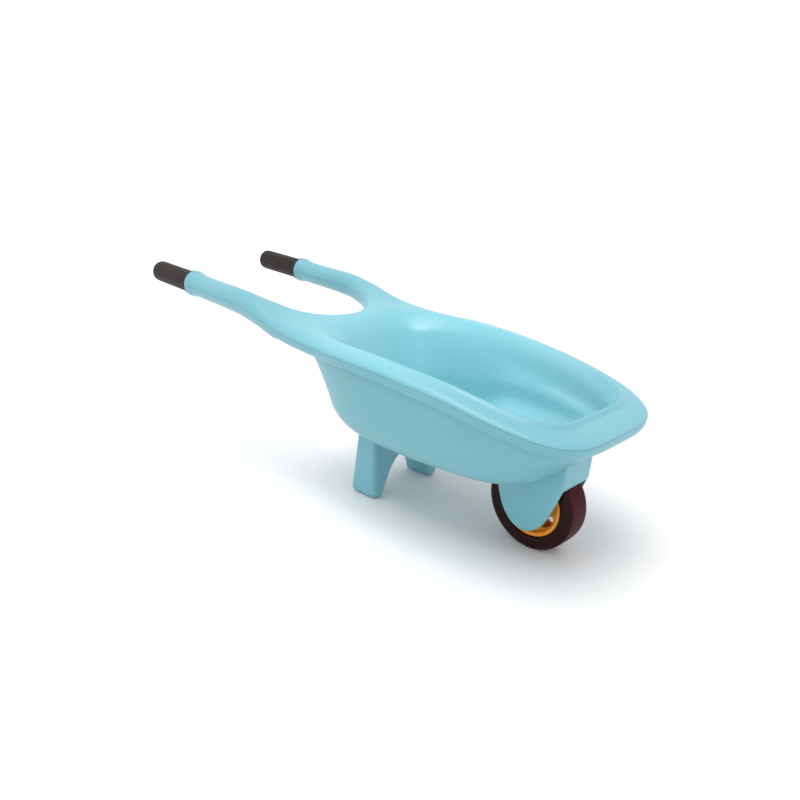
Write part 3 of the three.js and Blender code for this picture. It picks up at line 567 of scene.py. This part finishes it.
# ---------------------------------------------------------------- shader building
class Signal:
    """A number that varies over a surface, so that shader maths reads as plain expressions."""

    def __init__(self, shader, socket):
        self.shader, self.socket = shader, socket

    def math(self, operation, *values):
        return self.shader.node("Math", {"operation": operation}, dict(enumerate(values)))

    def __add__(self, other):
        return self.math("ADD", self, other)

    def __sub__(self, other):
        return self.math("SUBTRACT", self, other)

    def __rsub__(self, other):
        return self.math("SUBTRACT", other, self)

    def __mul__(self, other):
        return self.math("MULTIPLY", self, other)

    def __truediv__(self, other):
        return self.math("DIVIDE", self, other)

    def __pow__(self, other):
        return self.math("POWER", self, other)

    __radd__, __rmul__ = __add__, __mul__

    def absolute(self):
        return self.math("ABSOLUTE", self)

    def sine(self):
        return self.math("SINE", self)

    def between(self, low, high):
        """0 below low, 1 above high, and smooth between."""
        return self.shader.node(
            "MapRange", {"interpolation_type": "SMOOTHSTEP"},
            {"Value": self, "From Min": low, "From Max": high, "To Min": 0.0, "To Max": 1.0})


class Finish:
    """A material under construction: one principled shader, and nodes added by name."""

    def __init__(self, name, **constants):
        self.material = bpy.data.materials.new(name)
        self.material.use_nodes = True
        self.tree = self.material.node_tree
        self.surface = next(n for n in self.tree.nodes if n.type == "BSDF_PRINCIPLED")
        for socket, value in constants.items():
            self.surface.inputs[socket.replace("_", " ").title().replace("Ior", "IOR")].default_value = value

    def node(self, kind, settings=None, inputs=None, output=0):
        """Adds a shader node. A ramp's stops are its settings, and inputs are values, sockets or signals."""
        made = self.tree.nodes.new("ShaderNode" + kind)
        for key, value in (settings or {}).items():
            if key == "stops":
                while len(made.color_ramp.elements) < len(value):
                    made.color_ramp.elements.new(1.0)
                for element, (position, colour) in zip(made.color_ramp.elements, value):
                    element.position, element.color = position, (*colour, 1.0)
            else:
                setattr(made, key, value)
        for key, value in (inputs or {}).items():
            socket = made.inputs[key]
            value = value.socket if isinstance(value, Signal) else value
            if isinstance(value, bpy.types.NodeSocket):
                self.tree.links.new(value, socket)
            else:
                socket.default_value = value
        return Signal(self, made.outputs[output])

    def feed(self, socket, signal):
        """Links a signal to a socket of the surface."""
        self.tree.links.new(signal.socket, self.surface.inputs[socket])

    def place(self, scale=(1, 1, 1), offset=(0, 0, 0)):
        """Object coordinates, moved and scaled."""
        coordinates = self.node("TexCoord", output=3)
        return self.node("Mapping", None, {"Vector": coordinates, "Location": offset, "Scale": scale})

    def noise(self, scale, detail=2.0, roughness=0.5, stretch=(1, 1, 1)):
        """Cloudy noise from 0 to 1 with features of 1 / scale metres."""
        return self.node("TexNoise", None, {"Vector": self.place(stretch), "Scale": scale, "Detail": detail,
                                            "Roughness": roughness})

    def blend(self, share, first, second, kind="MIX"):
        """Two colours mixed by a share from 0 to 1."""
        made = self.node("Mix", {"data_type": "RGBA", "blend_type": kind}, {0: share}, output=2)
        for slot, colour in ((6, first), (7, second)):
            socket = made.socket.node.inputs[slot]
            if isinstance(colour, Signal):
                self.tree.links.new(colour.socket, socket)
            else:
                socket.default_value = (*colour, 1.0)
        return made

    def bump(self, height, distance, strength=1.0, below=None):
        """A bump of the given height in metres, over another one if below is given."""
        inputs = {"Height": height, "Distance": distance, "Strength": strength}
        if below:
            inputs["Normal"] = below
        return self.node("Bump", None, inputs)


def tinted(colour, factor):
    """A colour multiplied by a number, or by one number for each channel."""
    return tuple(np.clip(np.array(colour) * factor, 0, 1))


def scratches(finish, scale, width, stretch):
    """Fine lines, 1 on a line and 0 elsewhere: the thin zero crossings of a stretched noise."""
    wander = finish.noise(scale, 3.0, 0.55, stretch)
    return 1 - (wander - 0.5).absolute().between(0.0, width)


def from_axle(finish):
    """Distance from the wheel's axle, in metres."""
    centred = finish.place((1, 0, 1), (-WHEEL_CENTRE[0] * MM, 0, -WHEEL_CENTRE[2] * MM))
    return finish.node("VectorMath", {"operation": "LENGTH"}, {"Vector": centred}, output=1)


def moulded_plastic(name, colour):
    """Satin moulded plastic: a fine spark-eroded grain, faint clouds in its colour, and light scuffs."""
    finish = Finish(name, ior=1.5, specular_ior_level=0.35)
    cloud = finish.noise(9.0, 4.0)
    streak = finish.noise(26.0, 3.0, 0.6, (0.35, 1.0, 1.0))
    grain = finish.noise(1500.0, 2.0, 0.6)
    pebble = finish.noise(420.0, 2.0)
    patches = finish.noise(14.0, 3.0).between(0.52, 0.70)
    scuff = scratches(finish, 55.0, 0.012, (1.0, 2.2, 0.7)) * patches
    base = finish.blend(cloud.between(0.25, 0.75), tinted(colour, (0.95, 0.985, 0.985)),
                        tinted(colour, (1.04, 1.01, 1.01)))
    base = finish.blend(streak.between(0.3, 0.8) * 0.20, base, tinted(colour, (0.90, 0.95, 0.97)))
    base = finish.blend(scuff * 0.22, base, tinted(colour, 1.35))
    finish.feed("Base Color", base)
    finish.feed("Roughness", cloud * 0.08 + grain * 0.05 + scuff * 0.14 + 0.27)
    low = finish.bump(pebble, 0.00004, 0.55)
    fine = finish.bump(grain, 0.00002, 0.5, low)
    finish.feed("Normal", finish.bump(scuff, -0.00003, 0.6, fine))
    return finish.material


def ribbed_rubber(name, colour):
    """Soft dark rubber of the grips: matt, with a dusty bloom in patches, lighter streaks along its length
    and a fine pitted skin.
    """
    finish = Finish(name, ior=1.5, specular_ior_level=0.22)
    bloom = finish.noise(60.0, 4.0, 0.6)
    pits = finish.noise(1100.0, 2.0, 0.65)
    lengthwise_streak = finish.noise(180.0, 3.0, 0.6, (0.25, 1.0, 1.0))
    base = finish.blend(bloom.between(0.4, 0.75) * 0.6, colour, tinted(colour, (2.3, 2.1, 2.0)))
    # Lighter streaks stretched along the grip's length.
    base = finish.blend(lengthwise_streak.between(0.55, 0.8) * 0.35, base, tinted(colour, (3.4, 3.0, 2.8)))
    finish.feed("Base Color", base)
    finish.feed("Roughness", bloom * 0.16 + pits * 0.10 + 0.34)
    finish.feed("Normal", finish.bump(pits, 0.00005, 0.6))
    return finish.material


def tyre_rubber(name, colour):
    """Glossy dark tyre: rings left by the mould round its axle, a fine grain, dust, and a painted reddish
    reflection on the tread.
    """
    finish = Finish(name, ior=1.5, specular_ior_level=0.05, coat_roughness=0.08)
    radius = from_axle(finish)
    rings = (radius * 5200.0).sine()
    grain = finish.noise(900.0, 2.0, 0.6)
    dust_and_reflection_noise = finish.noise(70.0, 4.0, 0.6)
    tread = radius.between(WHEEL_R * MM * 0.975, WHEEL_R * MM * 0.998)
    base = finish.blend(dust_and_reflection_noise.between(0.35, 0.8) * 0.5, colour, tinted(colour, (1.7, 1.6, 1.55)))
    # Painted reflection: the tread is tinted deeper red, as if lit by reddish light, more strongly where the
    # noise is high.
    base = finish.blend(tread * (dust_and_reflection_noise * 0.4 + 0.5), base, (0.055, 0.006, 0.010))
    finish.feed("Base Color", base)
    finish.feed("Roughness", dust_and_reflection_noise * 0.14 + grain * 0.08 + tread * 0.10 + 0.20)
    finish.feed("Coat Weight", 0.14 - tread * 0.10)
    low = finish.bump(rings, 0.000015, 0.25)
    finish.feed("Normal", finish.bump(grain, 0.00004, 0.5, low))
    return finish.material


def rim_plastic(name, colour):
    """Glossy yellow-orange plastic, deeper in colour towards the hub, with a faint flow pattern."""
    finish = Finish(name, roughness=0.25, ior=1.5)
    radius = from_axle(finish)
    flow = finish.noise(90.0, 4.0, 0.6)
    grain = finish.noise(1200.0, 2.0)
    base = finish.blend(radius.between(0.015, 0.039), tinted(colour, (0.82, 0.66, 0.6)), colour)
    base = finish.blend(flow.between(0.35, 0.8) * 0.35, base, tinted(colour, (1.0, 1.22, 1.3)))
    finish.feed("Base Color", base)
    finish.feed("Roughness", flow * 0.12 + grain * 0.05 + 0.16)
    finish.feed("Normal", finish.bump(grain, 0.00003, 0.4))
    return finish.material


def plated_steel(name):
    """Zinc-plated steel with turning marks and a slightly clouded shine."""
    finish = Finish(name, metallic=1.0, roughness=0.3)
    cloud = finish.noise(300.0, 3.0)
    lines = finish.noise(2400.0, 2.0, 0.5, (0.2, 1.0, 0.2))
    finish.feed("Base Color", finish.blend(cloud.between(0.3, 0.7), (0.55, 0.56, 0.58), (0.72, 0.72, 0.70)))
    finish.feed("Roughness", cloud * 0.2 + lines * 0.12 + 0.18)
    finish.feed("Normal", finish.bump(lines, 0.00002, 0.5))
    return finish.material


def acetal(name):
    """Natural white slippery plastic of the spacers."""
    finish = Finish(name, roughness=0.4, ior=1.48)
    cloud = finish.noise(240.0, 3.0)
    finish.feed("Base Color", finish.blend(cloud.between(0.3, 0.7), (0.72, 0.70, 0.63), (0.82, 0.80, 0.75)))
    finish.feed("Roughness", cloud * 0.15 + 0.3)
    finish.feed("Normal", finish.bump(cloud, 0.00002, 0.4))
    return finish.material


def studio_floor(name, colour):
    """Pale painted floor with a barely visible unevenness."""
    finish = Finish(name, roughness=0.75)
    cloud = finish.noise(3.0, 4.0)
    finish.feed("Base Color", finish.blend(cloud, tinted(colour, 0.985), tinted(colour, 1.01)))
    finish.feed("Roughness", cloud * 0.1 + 0.68)
    finish.feed("Normal", finish.bump(finish.noise(600.0), 0.00005, 0.2))
    return finish.material


def finish_of(kind):
    """The material of a kind, made the first time it is asked for."""
    name = kind + "_finish"
    if name in bpy.data.materials:
        return bpy.data.materials[name]
    colours = bpy.context.scene.barrow_colours
    made = {
        "body_plastic": lambda: moulded_plastic(name, colours.body),
        "grip_rubber": lambda: ribbed_rubber(name, colours.grip),
        "tyre_rubber": lambda: tyre_rubber(name, colours.tyre),
        "rim_plastic": lambda: rim_plastic(name, colours.rim),
        "steel": lambda: plated_steel(name),
        "spacer_plastic": lambda: acetal(name),
        "studio_floor": lambda: studio_floor(name, colours.floor),
    }
    return made[kind]()


def finished(piece, kind, body, *nodes):
    """Gives a piece its material and body, and lets it stand for nodes of the frame."""
    piece.data.materials.clear()
    piece.data.materials.append(finish_of(kind))
    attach(piece, body)
    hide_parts(*nodes)
    return piece


# ---------------------------------------------------------------- pieces
class BARROW_OT_upper_shell(bpy.types.Operator):
    """Makes the upper shell: basin, rolled rim, deck and the tops of the handles"""

    bl_idname = "barrow.upper_shell"
    bl_label = "Upper shell"

    def execute(self, context):
        sizes = context.scene.barrow_sizes
        piece = make_mesh("upper_shell", [shifted(g) for g in upper_skin()], mirror=True)
        add_modifier(piece, "SOLIDIFY", thickness=sizes.wall, offset=-1)
        soften(piece, sizes.seam_edge)
        finished(piece, "body_plastic", BODY, "tub_upper_shell")
        return {"FINISHED"}


class BARROW_OT_lower_shell(bpy.types.Operator):
    """Makes the lower shell: the tub's outside, the rim's band, the handles' undersides and the wheel well"""

    bl_idname = "barrow.lower_shell"
    bl_label = "Lower shell"

    def execute(self, context):
        sizes = context.scene.barrow_sizes
        wall = sizes.wall / MM
        piece = make_mesh("lower_shell", [shifted(g) for g in lower_skin()], mirror=True)
        add_modifier(piece, "SOLIDIFY", thickness=sizes.wall, offset=-1)
        settle(piece)
        front = FORK_HIGH[0] + 2 * GAP
        back = WELL_BACK + SHIFT
        lining = crate("well_lining", (back - wall, -WELL_HALF - wall, HULL_Z - 5),
                       (front + wall, WELL_HALF + wall, WELL_TOP + wall))
        carve(lining, hull_block("hull_inside", 1.0), "INTERSECT")
        carve(piece, lining, "UNION")
        carve(piece, crate("well", (back, -WELL_HALF, 0), (front, WELL_HALF, WELL_TOP)))
        piece.data.shade_smooth()
        soften(piece, sizes.seam_edge)
        finished(piece, "body_plastic", BODY, "tub_lower_shell")
        return {"FINISHED"}


def stand_outline():
    """The stand from the front: two feet with round corners under one arch, the arch being a cubic curve
    from the inner edge of each foot to the crown."""
    foot, spring, crown, top = STAND_HIGH[1], STAND_SPRING, STAND_CROWN, STAND_HIGH[2] + 14
    t = np.linspace(0, 1, 41)[1:, None]
    ends = np.array(((spring, 0.0), (0.8 * spring, 0.42 * crown), (0.5 * spring, crown), (0.0, crown)))
    half = sum(c * ends[k] * t**k * (1 - t) ** (3 - k) for k, c in enumerate((1, 3, 3, 1)))
    arch = np.concatenate((half, half[-2::-1] * (-1, 1)))
    corners = [(-spring, 0.0), (-foot, 0.0), (2 - foot, top), (foot - 2, top), (foot, 0.0), (spring, 0.0)]
    points = np.concatenate((corners, arch[arch[:, 1] > 9]))
    radii = np.concatenate(((7.0, 7.5, 6.0, 6.0, 7.5, 7.0), np.zeros(len(points) - 6)))
    return evenly(rounded(points, radii), 1.5)


class BARROW_OT_leg_stand(bpy.types.Operator):
    """Makes the arched leg stand, with rounded legs and a back that leans forwards"""

    bl_idname = "barrow.leg_stand"
    bl_label = "Leg stand"

    def execute(self, context):
        lean = STAND_RAKE / HULL_Z

        def place(a, b, depth):
            share = (depth - STAND_LOW[0]) / (STAND_HIGH[0] - STAND_LOW[0])
            x = depth + (1 - share) * np.maximum(b, 0) * lean
            return np.stack(np.broadcast_arrays(x, a, b), 2)

        piece = slab("leg_stand_arch", stand_outline(), place, STAND_LOW[0], STAND_HIGH[0],
                     STAND_ROUND)
        carve(piece, hull_block("hull_outside", -GAP))
        soften(piece, 0.4 * MM, 50)
        finished(piece, "body_plastic", BODY, "leg_stand")
        return {"FINISHED"}


def fork_outline():
    """The fork from the side: a tongue round the axle, a curve up to a front that leans forwards, and
    the roof."""
    back, front, top = FORK_LOW[0] - SHIFT, FORK_HIGH[0] - SHIFT, FORK_HIGH[2]
    low = FORK_LOW[2]
    way = np.array(((back, 98), (246, 82), (251, 62), (256, 48), (263, 37.5), (273, 29), (285, low),
                    (297.5, 29.5), (308, 38), (316, 50), (320, 58.5), (324, 67), (326.9, 74.2), (329.6, 81),
                    (332.2, 87.2)))
    curve = flowing(way[:, None], np.linspace(0, 1, 150))[:, 0]
    front_edge = rounded(((332.2, 87.2), (front - FORK_LEAN, 93), (front, top), (back, top), (back, 98)),
                         (0, 4.0, 0.8, 0.8, 0))
    return evenly(np.concatenate((curve, front_edge[9:-9])), 1.2)


class BARROW_OT_wheel_fork(bpy.types.Operator):
    """Makes the wheel's fork: two plates, a front wall and a roof, open below and behind"""

    bl_idname = "barrow.wheel_fork"
    bl_label = "Wheel fork"

    def execute(self, context):
        def place(a, b, depth):
            return np.stack(np.broadcast_arrays(a + SHIFT, depth, b), 2)

        low, high = FORK_LOW[1], FORK_HIGH[1]
        piece = slab("fork_stirrup", fork_outline(), place, low, high, FORK_ROUND)
        near, far = low + FORK_PLATE, high - FORK_PLATE
        carve(piece, crate("fork_inside", (FORK_LOW[0] - 20, near, -5),
                           (FORK_HIGH[0] - FORK_LEAN - FORK_WALL, far, FORK_HIGH[2] - FORK_ROOF)))
        reach = WHEEL_R + WHEEL_ROOM
        room = turned([(0, near), (reach, near), (reach, far), (0, far)], WHEEL_CENTRE * (1, 0, 1))
        carve(piece, make_mesh("wheel_room", [room]))
        piece.data.shade_smooth()
        soften(piece, 0.7 * MM, 35)
        finished(piece, "body_plastic", BODY, "wheel_fork")
        return {"FINISHED"}


def grip_grid(ribs, depth):
    """A fluted sleeve along its own axis, from its bore over the ring and the flutes to the domed end.

    The radius between the ring and the dome is less by the depth times a flute's profile, which is the
    square root of the absolute sine of half the ribs times the turn, faded out at both ends."""
    length = (COLLAR_X - 2 * GAP - GRIP_BACK) / math.cos(GRIP_SLOPE) - 0.9
    bore, ring, body, dome = 12.6, 18.2, 15.6, 5.5
    arc = np.linspace(0, np.pi / 2, 9)[1:]
    profile = np.concatenate((
        [(bore, 6.0), (bore, 0.0), (ring - 1.0, 0.0), (ring - 0.3, 0.3), (ring, 1.0), (ring, 3.2),
         (ring - 0.35, 3.9), (ring - 1.1, 4.3), (body - 0.2, 4.6), (body, 5.4)],
        np.column_stack((np.full(56, body), np.linspace(6, length - dome, 56))),
        np.column_stack((body - dome + dome * np.cos(arc), length - dome + dome * np.sin(arc))),
        [(r, length) for r in (8.0, 5.0, 2.0)], [(0.0, length)]))

    def flute(turn, radius, along):
        fade = np.clip((along - 7.5) / 2.5, 0, 1) * np.clip((length - dome * 0.4 - along) / 5.0, 0, 1)
        smooth = fade * fade * (3 - 2 * fade)
        groove = 1 - np.abs(np.sin(turn * ribs / 2)) ** 0.55
        return radius - depth * smooth * groove * (radius > bore + 0.5), along

    return turned(profile, (0, 0, 0), "X", ribs * 12, flute)


class BARROW_OT_grips(bpy.types.Operator):
    """Makes the two ribbed grips on the handles' stubs"""

    bl_idname = "barrow.grips"
    bl_label = "Grips"

    def execute(self, context):
        sizes = context.scene.barrow_sizes
        grid = grip_grid(sizes.ribs, sizes.rib_depth / MM)
        along, a, b = grid[..., 0], grid[..., 1], grid[..., 2]
        c, s = math.cos(GRIP_SLOPE), math.sin(GRIP_SLOPE)
        x = COLLAR_X - 2 * GAP + SHIFT - along * c + b * s
        z = float(seam(COLLAR_X)) + along * s + b * c
        for name, node, y in (("right_grip", "grip_right", -HANDLE_Y), ("left_grip", "grip_left", HANDLE_Y)):
            piece = make_mesh(name, [np.stack((x, y + a, z), 2)])
            finished(piece, "grip_rubber", BODY, node)
        return {"FINISHED"}


class BARROW_OT_tyre(bpy.types.Operator):
    """Makes the tyre: a crowned tread with small shoulders, and sidewalls with a moulded ridge"""

    bl_idname = "barrow.tyre"
    bl_label = "Tyre"

    def execute(self, context):
        r, half = WHEEL_R, TYRE_HIGH[1]
        side = np.array(((36.4, 0.0), (36.4, 11.4), (36.9, 11.8), (39.6, 11.9), (40.0, 12.3), (40.1, 15.1),
                         (40.6, 15.7), (43.2, 16.4), (43.9, 16.75), (44.4, 17.0), (45.0, 16.75), (45.6, 16.6),
                         (48.0, half), (50.5, 16.7), (52.6, 15.9), (53.6, 15.2), (54.3, 14.75), (54.9, 14.55),
                         (55.35, 14.1), (55.6, 13.2), (r - 0.12, 10.0), (r - 0.03, 5.0), (r, 0.0)))
        way = flowing(side[3:][:, None], np.linspace(0, 1, 90))[:, 0]
        half_profile = np.concatenate((side[:3], way))
        profile = np.concatenate((half_profile[::-1] * (1, -1), half_profile[1:]))
        grid = turned(profile, WHEEL_CENTRE * (1, 0, 1), "Y", 176)
        piece = make_mesh("moulded_tyre", [grid])
        finished(piece, "tyre_rubber", WHEEL_BODY, "tyre")
        return {"FINISHED"}


def rim_sector(spokes, side):
    """One sector of a rim half, centred on a spoke, as grids.

    The profile is a closed loop of (radius, depth) points: bore, hub, web, flange, barrel and the web's
    back. Between the window's radii the sector narrows: its half angle is that of the whole sector less
    the window's, which is a rounded hump over the radius. Strips join front and back there."""
    front = [(6.3, 16.2), (6.8, 16.6), (8.9, 16.6), (9.5, 16.2), (9.9, 14.5), (10.6, 11.6), (12.0, 10.4),
             (14.0, 10.0)]
    web_radii = np.linspace(WINDOW_IN, WINDOW_OUT, WEB_STEPS)
    bow = (web_radii - 14.0) / 18.5
    web = np.column_stack((web_radii, 10.0 - 0.9 * bow + 0.5 * np.sin(np.pi * bow)))
    flange = [(33.3, 9.6), (33.6, 10.1), (34.0, 11.1), (34.6, 13.1), (35.3, 14.1), (36.4, 14.6), (38.8, 14.6),
              (39.4, 14.2), (39.6, 13.5), (39.4, 12.6), (38.8, 12.3), (36.2, 12.3), (36.0, 12.0), (36.0, 0.2),
              (33.6, 0.2), (33.5, 5.6), (33.3, 6.0)]
    back = np.column_stack((web_radii[::-1], np.full(WEB_STEPS, 6.0)))
    inner = [(14.0, 6.0), (10.0, 6.0), (9.5, 5.4), (9.5, 0.2), (6.3, 0.2), (6.3, 16.2)]
    profile = np.concatenate((front, web, flange, back, inner))
    radius, depth = profile.T
    u = np.clip((radius - WINDOW_IN) / (WINDOW_OUT - WINDOW_IN), 0, 1) * 2 - 1
    window = math.radians(WINDOW_HALF) * (1 - np.abs(u) ** 3.2) ** (1 / 2.4)
    face = slice(len(front), len(front) + WEB_STEPS)
    rear = slice(face.stop + len(flange), face.stop + len(flange) + WEB_STEPS)
    half = np.full(len(profile), math.pi / spokes)
    for part in (face, rear):
        half[part] -= window[part]
    angle = half * np.linspace(-1, 1, 25)[:, None]
    grid = np.stack((radius * np.cos(angle), side * np.broadcast_to(depth, angle.shape),
                     radius * np.sin(angle)), 2)
    strips = []
    for column in (0, -1):
        top, bottom = grid[column, face], grid[column, rear][::-1]
        strips.append(np.stack((top, mix(top, bottom, 0.5), bottom)))
    return [grid] + strips


class BARROW_OT_rims(bpy.types.Operator):
    """Makes the two spoked halves of the rim"""

    bl_idname = "barrow.rims"
    bl_label = "Rims"

    def execute(self, context):
        spokes = context.scene.barrow_sizes.spokes
        for name, node, side in (("right_rim", "rim_right", -1), ("left_rim", "rim_left", 1)):
            sector = rim_sector(spokes, side)
            grids = []
            for k in range(spokes):
                turn = math.radians(WINDOW_FIRST) + math.pi / spokes * (2 * k + 1)
                c, s = math.cos(turn), math.sin(turn)
                for grid in sector:
                    x, y, z = grid[..., 0], grid[..., 1], grid[..., 2]
                    grids.append(np.stack((x * c - z * s, y, x * s + z * c), 2) + WHEEL_CENTRE * (1, 0, 1))
            piece = make_mesh(name, grids, weld=0.02)
            soften(piece, 0.35 * MM, 50, 2)
            finished(piece, "rim_plastic", WHEEL_BODY, node)
        return {"FINISHED"}


def sleeve(node, inner, chamfer=0.4):
    """A ring or rod along Y that fills a node's box, with chamfered ends."""
    low, high = box_mm(node)
    outer, centre = (high[2] - low[2]) / 2, (low + high) / 2
    y0, y1 = low[1], high[1]
    outside = [(outer - chamfer, y0), (outer, y0 + chamfer), (outer, y1 - chamfer), (outer - chamfer, y1)]
    inside = [(inner, y1), (inner, y0)] if inner else [(0.0, y1)]
    start = [(inner, y0)] if inner else [(0.0, y0)]
    return turned(start + outside + inside, centre * (1, 0, 1), "Y", 64)


class BARROW_OT_axle_parts(bpy.types.Operator):
    """Makes the axle, the tube that the wheel turns on, and the spacers beside it"""

    bl_idname = "barrow.axle_parts"
    bl_label = "Axle parts"

    def execute(self, context):
        bore = 3.3
        for name, node, inner, kind, body in (
                ("axle_rod", "axle", 0.0, "steel", BODY),
                ("wheel_tube", "hub_tube", bore, "steel", WHEEL_BODY),
                ("right_spacer", "spacer_right", bore, "spacer_plastic", BODY),
                ("left_spacer", "spacer_left", bore, "spacer_plastic", BODY)):
            piece = make_mesh(name, [sleeve(node, inner)])
            soften(piece, 0.15 * MM, 30, 2)
            finished(piece, kind, body, node)
        return {"FINISHED"}


def screw_grid(length):
    """A pan head screw along its axis, head up: a domed head with a cross recess, and a threaded shank.

    The head's height falls by the recess depth where either arm of the cross passes, and the shank's
    radius follows a sine of the place along it plus the turn, which makes the thread."""
    head_r, head_h, shank, pitch = 3.25, 2.3, 1.35, 1.1
    head = [(0.0, head_h)] + [(r, head_h - 0.55 * (r / head_r) ** 2) for r in np.linspace(0.12, 2.6, 16)]
    rim = [(2.9, head_h - 0.75), (3.15, head_h - 1.1), (head_r, head_h - 1.5), (head_r, 0.25), (3.1, 0.0),
           (1.6, 0.0)]
    rod = [(shank, z) for z in np.linspace(-0.3, -length + 1.6, int(length * 6))]
    profile = np.array(head + rim + rod + [(0.0, -length + 0.05)])

    def detail(turn, radius, along):
        a, b = np.abs(radius * np.cos(turn)), np.abs(radius * np.sin(turn))
        arm = np.clip((0.42 - np.minimum(a, b)) / 0.12, 0, 1) * np.clip((1.75 - np.maximum(a, b)) / 0.3, 0, 1)
        on_top = along > head_h - 0.7
        thread = 0.24 * np.sin(2 * np.pi * along / pitch + turn) * ((along < -0.8) & (along > -length + 1.5))
        return radius + thread, along - 1.1 * arm * on_top

    return turned(profile, (0, 0, 0), "Z", 48, detail)


class BARROW_OT_screws(bpy.types.Operator):
    """Makes every screw in place of its plain node, head towards the side that it is driven from"""

    bl_idname = "barrow.screws"
    bl_label = "Screws"

    def execute(self, context):
        directions = {"shell": (2, -1), "fork": (2, -1), "stand": (2, 1), "rim": (1, 1)}
        for node in sorted(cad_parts):
            group = node.split("_screw_")[0]
            if group not in directions or "_screw_" not in node:
                continue
            axis, way = directions[group]
            low, high = box_mm(node)
            centre = (low + high) / 2
            seat = (high if way > 0 else low)[axis] - way * SCREW_HEAD
            length = high[axis] - low[axis] - SCREW_HEAD
            grid = screw_grid(length)
            a, b, along = grid[..., 0], grid[..., 1], grid[..., 2] * way
            if axis == 2:
                points = np.stack((centre[0] + a, centre[1] + b, seat + along), 2)
            else:
                points = np.stack((centre[0] + a, seat + along, centre[2] + b), 2)
            piece = make_mesh(node + "_pan_head", [points])
            finished(piece, "steel", WHEEL_BODY if group == "rim" else BODY, node)
        return {"FINISHED"}


# ---------------------------------------------------------------- stage
def aim(thing, at):
    """Turns a lamp so that it shines at a point."""
    thing.rotation_euler = (Vector(at) - thing.location).to_track_quat("-Z", "Y").to_euler()


def lamp(name, kind, place, at, power, colour=(1, 1, 1), **settings):
    """A lamp that shines from a place towards a point."""
    light = bpy.data.lights.new(name, kind)
    light.energy, light.color = power, colour
    for key, value in settings.items():
        setattr(light, key, value)
    holder = bpy.data.objects.new(name, light)
    holder.location = place
    bpy.context.scene.collection.objects.link(holder)
    aim(holder, at)


class BARROW_OT_stage(bpy.types.Operator):
    """Makes the floor, the studio light and the camera"""

    bl_idname = "barrow.stage"
    bl_label = "Stage"

    def execute(self, context):
        scene = context.scene
        turn = np.linspace(0, 2 * np.pi, 97)[None]
        radius = (np.array((0.0, 0.5, 1.5, 4.0, 12.0, 40.0)) / MM)[:, None]
        disc = np.stack(np.broadcast_arrays(radius * np.cos(turn), radius * np.sin(turn), -0.05), 2)
        floor = make_mesh("studio_floor_disc", [disc])
        floor.data.materials.append(finish_of("studio_floor"))

        world = bpy.data.worlds.new("studio")
        world.use_nodes = True
        background = world.node_tree.nodes["Background"]
        background.inputs["Color"].default_value = (1.0, 1.0, 1.0, 1.0)
        background.inputs["Strength"].default_value = 1.0
        scene.world = world
        middle = (0.05, 0.0, 0.12)
        lamp("key", "SUN", (-0.1, -0.35, 2.0), middle, 1.5, angle=math.radians(40))
        lamp("fill", "AREA", (0.10, -0.12, 0.66), (0.11, 0.03, 0.12), 0.13, shape="SQUARE", size=0.16,
             spread=math.radians(50))
        lamp("glow", "AREA", (1.5, 0.6, 0.15), (0.25, 0, 0.08), 2.5, (1.0, 0.35, 0.45),
             shape="SQUARE", size=0.7)
        scene.view_settings.view_transform = "Standard"

        azimuth, elevation, roll = (
            math.radians(a) for a in (VIEW_AZIMUTH, VIEW_ELEVATION, VIEW_ROLL))
        away = Vector((math.sin(azimuth) * math.cos(elevation), -math.cos(azimuth) * math.cos(elevation),
                       math.sin(elevation)))
        right = Vector((math.cos(azimuth), math.sin(azimuth), 0))
        up = away.cross(right)
        across = math.cos(roll) * right + math.sin(roll) * up
        upright = math.cos(roll) * up - math.sin(roll) * right
        camera = bpy.data.objects.new("camera", bpy.data.cameras.new("camera"))
        camera.data.lens, camera.data.sensor_width = VIEW_LENS, 36.0
        camera.data.clip_start = 0.01
        camera.matrix_world = Matrix.Translation(Vector(VIEW_TARGET) + away * VIEW_DISTANCE) @ Matrix(
            (across, upright, away)).transposed().to_4x4()
        scene.collection.objects.link(camera)
        scene.camera = camera
        return {"FINISHED"}


STEPS = (
    BARROW_OT_stage, BARROW_OT_upper_shell, BARROW_OT_lower_shell, BARROW_OT_leg_stand, BARROW_OT_wheel_fork,
    BARROW_OT_grips, BARROW_OT_tyre, BARROW_OT_rims, BARROW_OT_axle_parts, BARROW_OT_screws,
)


class BARROW_PT_panel(bpy.types.Panel):
    """Lists the barrow's pieces and its sizes and colours"""

    bl_label = "Toy wheelbarrow"
    bl_idname = "BARROW_PT_panel"
    bl_space_type = "VIEW_3D"
    bl_region_type = "UI"
    bl_category = "Barrow"

    def draw(self, context):
        for group in (context.scene.barrow_sizes, context.scene.barrow_colours):
            for name in group.__annotations__:
                self.layout.prop(group, name)
        for step in STEPS:
            self.layout.operator(step.bl_idname)


CLASSES = (BarrowSizes, BarrowColours, *STEPS, BARROW_PT_panel)


def register():
    for entry in CLASSES:
        bpy.utils.register_class(entry)
    bpy.types.Scene.barrow_sizes = bpy.props.PointerProperty(type=BarrowSizes)
    bpy.types.Scene.barrow_colours = bpy.props.PointerProperty(type=BarrowColours)


def unregister():
    del bpy.types.Scene.barrow_colours
    del bpy.types.Scene.barrow_sizes
    for entry in reversed(CLASSES):
        bpy.utils.unregister_class(entry)


def main():
    register()
    for step in STEPS:
        group, name = step.bl_idname.split(".")
        getattr(getattr(bpy.ops, group), name)()


if __name__ == "__main__":
    main()
